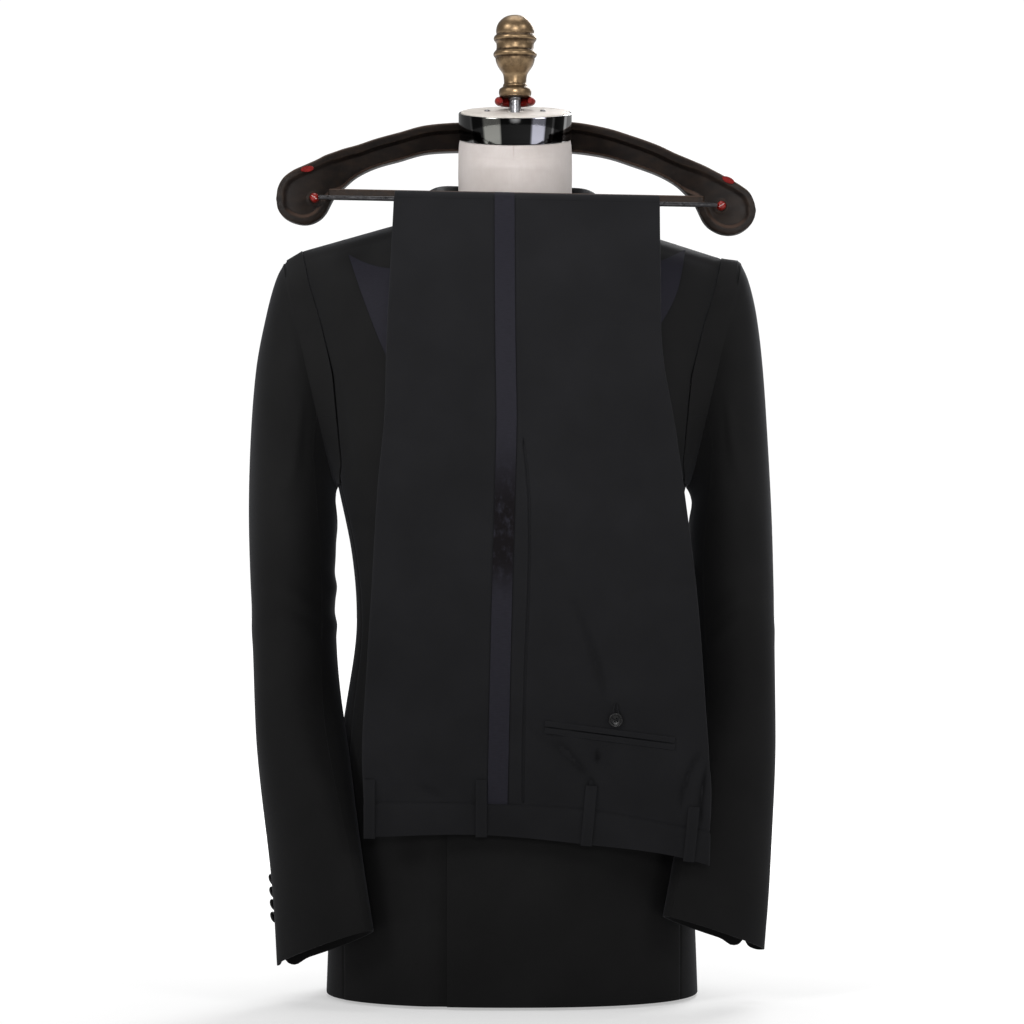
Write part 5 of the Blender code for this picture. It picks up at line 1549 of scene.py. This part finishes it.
def make_pocket_loop():
    """A fine cord loop from the upper jet, over the button."""
    middle = (POCKET[0][0] + POCKET[1][0]) / 2 + 0.0055
    height = (POCKET[0][1] + POCKET[1][1]) / 2 + 0.0140
    top = height + 0.0150
    curve = bpy.data.curves.new("pocket_loop", "CURVE")
    curve.dimensions = "3D"
    curve.bevel_depth = 0.00055
    curve.bevel_resolution = 3
    curve.use_fill_caps = True
    spline = curve.splines.new("NURBS")
    route = [(-0.0012, top), (-0.0016, top - 0.004), (-0.0030, height + 0.0050),
             (-0.0032, height + 0.0010), (0.0, height - 0.0008), (0.0032, height + 0.0010),
             (0.0030, height + 0.0050), (0.0016, top - 0.004), (0.0012, top)]
    spline.points.add(len(route) - 1)
    for point, (dx, z) in zip(spline.points, route):
        near = abs(z - height) < 0.006
        place = on_leg(np.float64(middle + dx), np.float64(z), 0.0024 if near else 0.0008)
        point.co = (*place, 1)
    spline.use_endpoint_u = True
    loop = bpy.data.objects.new("pocket_loop", curve)
    bpy.context.scene.collection.objects.link(loop)
    only(loop)
    bpy.ops.object.convert(target="MESH")
    finish(bpy.context.active_object, "hip_pocket_loop", WOOL_LEG)


# --- dress form --------------------------------------------------------------------------------

Turn = namedtuple("Turn", "radius height")
FINIAL = [
    Turn(0.0000, 0.0786), Turn(0.0055, 0.0781), Turn(0.0103, 0.0763), Turn(0.0148, 0.0725),
    Turn(0.0174, 0.0680), Turn(0.0182, 0.0640), Turn(0.0181, 0.0615), Turn(0.0178, 0.0603),
    Turn(0.0188, 0.0592), Turn(0.0200, 0.0578), Turn(0.0205, 0.0560), Turn(0.0201, 0.0543),
    Turn(0.0190, 0.0528), Turn(0.0180, 0.0512), Turn(0.0178, 0.0480), Turn(0.0182, 0.0452),
    Turn(0.0195, 0.0437), Turn(0.0206, 0.0420), Turn(0.0208, 0.0402), Turn(0.0200, 0.0385),
    Turn(0.0189, 0.0374), Turn(0.0186, 0.0352), Turn(0.0176, 0.0318), Turn(0.0157, 0.0280),
    Turn(0.0131, 0.0243), Turn(0.0117, 0.0220), Turn(0.0110, 0.0190), Turn(0.0107, 0.0150),
    Turn(0.0108, 0.0128), Turn(0.0116, 0.0116), Turn(0.0116, 0.0104), Turn(0.0128, 0.0092),
    Turn(0.0146, 0.0080), Turn(0.0154, 0.0062), Turn(0.0155, 0.0034), Turn(0.0148, 0.0010),
    Turn(0.0140, 0.0000), Turn(0.0000, 0.0000),
]


def leant(obj, height=0.0):
    """Puts a piece made on its own axis into the neck fittings' leaning frame."""
    lean = Matrix.Rotation(NECK_TILT, 4, "X")
    obj.data.transform(Matrix.Translation((NECK_X, NECK_Y, RING_Z)) @ lean
                       @ Matrix.Translation((0, 0, height)))
    return obj


def make_torso():
    heights = np.concatenate([np.linspace(FORM[0].z, 0.66, 60), np.linspace(0.663, 0.785, 50)])
    angles = np.linspace(0, 2 * math.pi, 128, endpoint=False)
    _, half, front, back = (column[:, None] for column in through(FORM, heights))
    sine, cosine = np.sin(angles)[None], np.cos(angles)[None]
    power = np.where(heights < 0.70, BODY_POWER, 2.0)[:, None]
    reach = (np.abs(sine) ** power + np.abs(cosine) ** power) ** (-1 / power)
    x = half * sine * reach
    shift = NECK_X * ease((heights - 0.66) / 0.08)[:, None]
    lean = LEAN * x * ease((heights[:, None] - ARMPIT) / (SHOULDER - ARMPIT))
    y = -np.where(cosine > 0, front, back) * cosine * reach
    points = pile(x + shift, y, heights[:, None] - lean)
    low = -RING_HEIGHT / 2 - 0.0004
    tops = []
    for radius, z in ((NECK_RADIUS + 0.0002, low - 0.012), (NECK_RADIUS - 0.0004, low - 0.004),
                      (NECK_RADIUS - 0.0012, low)):
        flat_y = -radius * np.cos(angles)
        turned_y = flat_y * math.cos(NECK_TILT) - z * math.sin(NECK_TILT)
        turned_z = flat_y * math.sin(NECK_TILT) + z * math.cos(NECK_TILT)
        tops.append(pile(NECK_X + radius * np.sin(angles), NECK_Y + turned_y, RING_Z + turned_z))
    start, end = points[-1], tops[0]
    for share in (0.25, 0.5, 0.75):
        tops.insert(len(tops) - 3, start + (end - start) * share)
    points = np.concatenate([points, np.stack(tops)])
    uv = cloth_lengths(points)
    obj = mesh_of_grid("torso", points, uv, closed=True)
    close_ends(obj)
    finish(obj, "form_torso", LINEN, sharp=50)


def make_neck():
    low, top = -RING_HEIGHT / 2, RING_HEIGHT / 2 + 0.0018
    inner, hole = NECK_RADIUS - 0.0016, POST_RADIUS + 0.0006
    ring = turned("ring", [
        (hole, low), (NECK_RADIUS - 0.0006, low), (NECK_RADIUS - 0.0002, low + 0.0002),
        (NECK_RADIUS, low + 0.0007), (NECK_RADIUS, top - 0.0010),
        (NECK_RADIUS - 0.0003, top - 0.0003), (NECK_RADIUS - 0.0009, top), (inner, top),
        (inner, top - 0.0020), (hole, top - 0.0020), (hole, low),
    ], 160)
    finish(leant(ring), "neck_ring", CHROME)
    low, high, edge = top - 0.0018, top + 0.0010, NECK_RADIUS - 0.0020
    disc = turned("cap", [
        (POST_RADIUS + 0.0022, low), (edge, low), (edge, high - 0.0009),
        (edge - 0.0003, high - 0.0004), (edge - 0.0010, high), (POST_RADIUS + 0.0026, high),
        (POST_RADIUS + 0.0022, high - 0.0005), (POST_RADIUS + 0.0022, low),
    ], 128)
    finish(leant(disc), "neck_cap", CREAM)
    pattern = turned("cap_screw_pattern", [
        (0.0, 0.0012), (0.0014, 0.0011), (0.0024, 0.0008), (0.0029, 0.0002), (0.0029, -0.0004),
        (0.0, -0.0004),
    ], 24)
    for turn in (0, math.pi / 2):
        cut_away(pattern, box((0.0044, 0.0009, 0.0016), (0, 0, 0.0012), turn))
    for number, x in enumerate((-0.0265, 0.0265), 1):
        screw = copy_of(pattern, f"disc_screw_{number}")
        screw.data.transform(Matrix.Rotation(math.radians(20 + 41 * number), 4, "Z"))
        screw.data.transform(Matrix.Translation((x, 0.004, 0)))
        finish(leant(screw, high + 0.0004), f"cap_screw_{number}", STEEL)
    bpy.data.objects.remove(pattern)
    foot = FINIAL_FOOT - 0.0002
    post = turned("post", [
        (0.0, foot), (POST_RADIUS - 0.0002, foot), (POST_RADIUS, foot - 0.0006),
        (POST_RADIUS - 0.0001, foot - 0.0016), (POST_RADIUS - 0.0012, foot - 0.0030),
        (POST_RADIUS - 0.0012, 0.8305), (0.0, 0.8305),
    ], 48)
    post.data.transform(Matrix.Translation((NECK_X, 0, 0)))
    finish(post, "neck_post", STEEL)
    finial = turned("turned_finial", smooth_profile(FINIAL), 96)
    finial.data.transform(Matrix.Translation((NECK_X, 0, FINIAL_FOOT)))
    finish(finial, "finial", BRASS)


# --- hanger --------------------------------------------------------------------------------------

Arm = namedtuple("Arm", "x top bottom")
ARMS = {
    -1: [
        Arm(0.000, 0.8360, 0.8080), Arm(0.026, 0.8370, 0.8090), Arm(0.051, 0.8370, 0.8090),
        Arm(0.083, 0.8320, 0.8050), Arm(0.108, 0.8230, 0.7960), Arm(0.129, 0.8150, 0.7880),
        Arm(0.146, 0.8072, 0.7780), Arm(0.158, 0.8024, 0.7665), Arm(0.167, 0.7981, 0.7560),
        Arm(0.175, 0.7942, 0.7400), Arm(0.183, 0.7892, 0.7320), Arm(0.193, 0.7840, 0.7285),
        Arm(0.204, 0.7785, 0.7300), Arm(0.213, 0.7715, 0.7350), Arm(0.2180, 0.7625, 0.7420),
        Arm(0.2195, 0.7530, 0.7505),
    ],
    1: [
        Arm(0.000, 0.8360, 0.8080), Arm(0.030, 0.8370, 0.8090), Arm(0.058, 0.8370, 0.8080),
        Arm(0.090, 0.8290, 0.8010), Arm(0.117, 0.8180, 0.7900), Arm(0.138, 0.8080, 0.7800),
        Arm(0.153, 0.7990, 0.7700), Arm(0.162, 0.7940, 0.7610), Arm(0.171, 0.7890, 0.7500),
        Arm(0.180, 0.7840, 0.7310), Arm(0.190, 0.7780, 0.7220), Arm(0.201, 0.7715, 0.7185),
        Arm(0.212, 0.7650, 0.7200), Arm(0.221, 0.7580, 0.7260), Arm(0.2255, 0.7490, 0.7330),
        Arm(0.2270, 0.7420, 0.7395),
    ],
}
ROD_SCREWS = {-1: (-0.1840, 0.7527), 1: (0.1949, 0.7452)}
SPOTS = {-1: (-0.1905, 0.7793), 1: (0.2014, 0.7690)}
HANGER_DEPTH = 0.024
BAR_Y = -0.0750
BAR_THICK = 0.006
BAR_HEIGHT = 0.0105
BAR_LIFT = 0.0050


def arm_middle(x):
    """The hanger's middle: behind the neck, then forward, levelling off at its ends."""
    reach = np.abs(x) / 0.190
    start, run = 0.88, 0.24
    slope = 1.6 * start ** 0.6
    over = np.clip((reach - start) / run, 0, 1)
    eased = start ** 1.6 + slope * run * (over - over**2 / 2)
    return 0.066 - 0.149 * np.where(reach < start, reach**1.6, eased)


def edge_distance(x, z, edge):
    """How far each point lies from a drawn edge."""
    gaps = np.hypot(x[:, None] - edge[None, :, 0], z[:, None] - edge[None, :, 1])
    return gaps.min(1)


def hanger_recess(x, z, upper, lower):
    """How deep the moulding's front is hollowed behind its rim at these points."""
    reach = np.abs(x)
    bulb = ease((reach - 0.158) / 0.022)
    rim_low = 0.0016 + 0.0058 * bulb
    rim_high = 0.0086 - 0.0012 * bulb
    soft = 0.0030 + 0.0014 * bulb
    inside = ease((edge_distance(x, z, upper) - rim_high) / soft + 0.5)
    inside = inside * ease((edge_distance(x, z, lower) - rim_low) / soft + 0.5)
    side = np.where(x < 0, 0, 1)
    screw = np.array([ROD_SCREWS[-1], ROD_SCREWS[1]])
    away = np.hypot(x - screw[side, 0], z - screw[side, 1])
    boss = 0.0012 * ease((0.0078 - away) / 0.0016)
    return inside * (0.0105 - 0.0062 * bulb) - boss * bulb


def hanger_grid():
    """Closed sections round the moulding, from its right tip to its left."""
    rows = []
    for side in (-1, 1):
        place = np.linspace(0, len(ARMS[side]) - 1, 150)
        x, top, bottom = by_row(ARMS[side], place)
        made = np.stack([side * x, top, np.minimum(bottom, top - 0.0015)], 1)
        rows.append(made[::-1] if side < 0 else made[1:])
    table = np.concatenate(rows)
    upper, lower = table[:, [0, 1]], table[:, [0, 2]]
    sections = []
    for x, top, bottom in table:
        height = top - bottom
        round_off = min(0.0032, height * 0.45)
        turn = np.linspace(0, math.pi / 2, 6)
        middle, half = arm_middle(x), HANGER_DEPTH / 2
        front, back = middle - half, middle + half
        inner = np.linspace(bottom + round_off, top - round_off, 64)
        z = np.concatenate([
            bottom + round_off * (1 - np.sin(turn[::-1])), inner[1:-1],
            top - round_off * (1 - np.sin(turn)),
        ])
        set_back = np.concatenate([
            round_off * (1 - np.cos(turn[::-1])), 0 * inner[1:-1],
            round_off * (1 - np.cos(turn)),
        ])
        y = front + set_back + hanger_recess(np.full(z.shape, x), z, upper, lower)
        inner_back = np.linspace(top - round_off, bottom + round_off, 12)
        back_z = np.concatenate([
            top - round_off * (1 - np.sin(turn[::-1])), inner_back[1:-1],
            bottom + round_off * (1 - np.sin(turn)),
        ])
        back_y = back - np.concatenate([
            round_off * (1 - np.cos(turn[::-1])), 0 * inner_back[1:-1],
            round_off * (1 - np.cos(turn)),
        ])
        line_z, line_y = np.concatenate([z, back_z]), np.concatenate([y, back_y])
        sections.append(pile(np.full(line_z.shape, x), line_y, line_z))
    return np.array(sections)


def rounded_bar(name, start, end, width, height):
    """A straight bar with rounded edges between two points."""
    start, end = Vector(start), Vector(end)
    bpy.ops.mesh.primitive_cube_add(size=1)
    bar = bpy.context.active_object
    bar.name = name
    bar.scale = ((end - start).length, width, height)
    bpy.ops.object.transform_apply(location=False, rotation=False, scale=True)
    soft = bar.modifiers.new("soft", "BEVEL")
    soft.width = height * 0.22
    soft.segments = 4
    apply_modifiers(bar)
    slope = -math.atan2(end.z - start.z, end.x - start.x)
    bar.data.transform(Matrix.Translation((start + end) / 2) @ Matrix.Rotation(slope, 4, "Y"))
    return bar


def tube_along(name, route, radius, swell=None):
    curve = bpy.data.curves.new(name, "CURVE")
    curve.dimensions = "3D"
    curve.bevel_depth = radius
    curve.bevel_resolution = 6
    curve.resolution_u = 6
    curve.use_fill_caps = False
    spline = curve.splines.new("NURBS")
    spline.points.add(len(route) - 1)
    for k, (point, place) in enumerate(zip(spline.points, route)):
        point.co = (*place, 1)
        point.radius = swell[k] if swell else 1.0
    spline.use_endpoint_u = True
    spline.order_u = 4
    obj = bpy.data.objects.new(name, curve)
    bpy.context.scene.collection.objects.link(obj)
    only(obj)
    bpy.ops.object.convert(target="MESH")
    obj = bpy.context.active_object
    bpy.ops.object.mode_set(mode="EDIT")
    bpy.ops.mesh.select_all(action="SELECT")
    bpy.ops.mesh.remove_doubles(threshold=0.000005)
    bpy.ops.mesh.fill_holes(sides=0)
    bpy.ops.mesh.select_all(action="SELECT")
    bpy.ops.mesh.normals_make_consistent(inside=False)
    bpy.ops.object.mode_set(mode="OBJECT")
    return obj


def make_hanger():
    points = hanger_grid()
    obj = mesh_of_grid("hanger", points, cloth_lengths(points), closed=True)
    close_ends(obj)
    finish(obj, "hanger_body", MOULDING, sharp=45)
    ends = [(x, BAR_Y, ROD_Z + BAR_LIFT + ROD_SLOPE * x) for x in (-0.172, 0.180)]
    bar = rounded_bar("hanger_bar", *ends, BAR_THICK, BAR_HEIGHT)
    finish(bar, "hanger_body", MOULDING)
    face = float(arm_middle(np.float64(1.0))) - HANGER_DEPTH / 2
    pattern = turned("rod_screw_pattern", [
        (0.0, 0.0050), (0.0012, 0.0049), (0.0024, 0.0043), (0.0034, 0.0032), (0.0040, 0.0017),
        (0.0042, 0.0), (0.0042, -0.0120), (0.0, -0.0120),
    ], 32)
    cut_away(pattern, box((0.0078, 0.0010, 0.0020), (0, 0, 0.0046)))
    for side, (x, z) in ROD_SCREWS.items():
        word = "left" if side > 0 else "right"
        screw = copy_of(pattern, f"bar_screw_{word}")
        screw.data.transform(Matrix.Rotation(math.radians(35 * side), 4, "Z"))
        stand(screw, (x, face - 0.0012, z), (0, -1, 0))
        finish(screw, f"rod_screw_{word}", RED)
        spot_x, spot_z = SPOTS[side]
        spot = turned(f"spot_{word}", [
            (0.0, 0.0005), (0.0040, 0.00045), (0.0058, 0.0003), (0.0062, -0.0010), (0.0, -0.0010),
        ], 40)
        spot.data.transform(Matrix.Diagonal((1.0, 0.46, 1.0, 1.0)))
        spot.data.transform(Matrix.Rotation(math.radians(8 if side < 0 else -24), 4, "Z"))
        stand(spot, (spot_x, face - 0.0001, spot_z), (0, -1, 0))
        finish(spot, f"size_dot_{word}", SPOT)
    bpy.data.objects.remove(pattern)
    ends = []
    for side, (x, z) in ROD_SCREWS.items():
        x = x + 0.0040 * -side
        ends.append((x, ROD_Y, ROD_Z + ROD_SLOPE * x))
    bpy.ops.mesh.primitive_cylinder_add(vertices=32, radius=0.0020,
                                        depth=(Vector(ends[1]) - Vector(ends[0])).length)
    rod = bpy.context.active_object
    rod.name = "rod"
    soft = rod.modifiers.new("soft", "BEVEL")
    soft.width = 0.0005
    soft.segments = 2
    apply_modifiers(rod)
    run = Vector(ends[1]) - Vector(ends[0])
    stand(rod, (Vector(ends[0]) + Vector(ends[1])) / 2, run)
    finish(rod, "hanger_rod", ROD_STEEL)
    arc = []
    for turn in np.linspace(206, -26, 21):
        angle = math.radians(turn)
        arc.append((NECK_X + 0.0156 * math.cos(angle), 0.0156 * math.sin(angle), HOOK_Z))
    swell = [0.55, 0.95] + [1.0] * 17 + [0.95, 0.55]
    finish(tube_along("hook", arc, 0.0042, swell), "hanger_hook", RED, sharp=60)
    stem = [(NECK_X, 0.0160, HOOK_Z), (NECK_X, 0.0230, HOOK_Z + 0.0030), (NECK_X, 0.0330, 0.8602),
            (NECK_X, 0.0440, 0.8592), (NECK_X, 0.0530, 0.8540), (NECK_X, 0.0575, 0.8460),
            (NECK_X, 0.0588, 0.8365)]
    finish(tube_along("stem", stem, 0.0038), "hanger_stem", RED, sharp=60)


make_buttons()
make_pocket_loop()
make_torso()
make_neck()
make_hanger()
bpy.data.objects["form_base"].material_slots[0].material = MOULDING


# --- stage -------------------------------------------------------------------------------

Lamp = namedtuple("Lamp", "name place aim size spread power")
LAMPS = (
    Lamp("key", (-2.2, -1.9, 2.3), (0.0, 0.0, 0.86), 1.2, 34, 3.4),
    Lamp("fill", (2.3, -1.8, 2.1), (0.0, 0.0, 0.84), 1.2, 34, 1.6),
    Lamp("front", (0.0, -3.1, 1.35), (0.0, 0.0, 0.86), 1.2, 27, 3.2),
    Lamp("top", (0.0, 0.3, 2.5), (0.0, 0.0, 0.70), 1.3, 110, 8),
    Lamp("rim", (0.9, 2.2, 1.9), (0.0, 0.0, 0.60), 1.2, 120, 20),
)
SKY, GLOW_NEAR, GLOW_FAR = 0.32, 0.42, 1.05


def make_floor():
    """A pale floor, lit a little from within where it runs out of the lamps' reach."""
    bpy.ops.mesh.primitive_plane_add(size=24, location=(0, 0, 0))
    floor = bpy.context.active_object
    floor.name = "studio_floor"
    pale = Finish("studio_floor", (0.62, 0.62, 0.62), 0.9)
    pale.set("Specular IOR Level", 0.1)
    pale.set("Emission Color", (1, 1, 1, 1))
    flat = pale.mapped(pale.place, (1, 1, 0))
    away = pale.nodes.new("ShaderNodeVectorMath")
    away.operation = "LENGTH"
    pale.links.new(flat, away.inputs[0])
    far = pale.ramp(pale.math("DIVIDE", away.outputs["Value"], 4.0, True),
                    ((0.08, GLOW_NEAR), (0.45, GLOW_FAR)), True)
    pale.link(far, "Emission Strength")
    floor.data.materials.append(pale.material)


def make_stage():
    make_floor()
    world = bpy.data.worlds.new("studio")
    bpy.context.scene.world = world
    world.use_nodes = True
    nodes, links = world.node_tree.nodes, world.node_tree.links
    sky = nodes["Background"]
    sky.inputs["Color"].default_value = (1, 1, 1, 1)
    sight = nodes.new("ShaderNodeLightPath")
    level = nodes.new("ShaderNodeMapRange")
    level.inputs["To Min"].default_value = SKY
    level.inputs["To Max"].default_value = 1.05
    links.new(sight.outputs["Is Camera Ray"], level.inputs["Value"])
    links.new(level.outputs["Result"], sky.inputs["Strength"])
    for lamp in LAMPS:
        light = bpy.data.lights.new(lamp.name, "AREA")
        light.size = lamp.size
        light.spread = math.radians(lamp.spread)
        light.energy = lamp.power
        placed = bpy.data.objects.new(lamp.name, light)
        placed.location = lamp.place
        away = Vector(lamp.place) - Vector(lamp.aim)
        placed.rotation_euler = away.to_track_quat("Z", "Y").to_euler()
        bpy.context.scene.collection.objects.link(placed)


def make_camera():
    camera = bpy.data.objects.new("camera", bpy.data.cameras.new("camera"))
    camera.location = (0, -3.4, 0.46)
    camera.rotation_euler = (math.radians(90), 0, 0)
    camera.data.sensor_width = 36
    camera.data.lens = 124.9
    bpy.context.scene.collection.objects.link(camera)
    bpy.context.scene.camera = camera
    bpy.context.scene.view_settings.view_transform = "Standard"


make_stage()
make_camera()
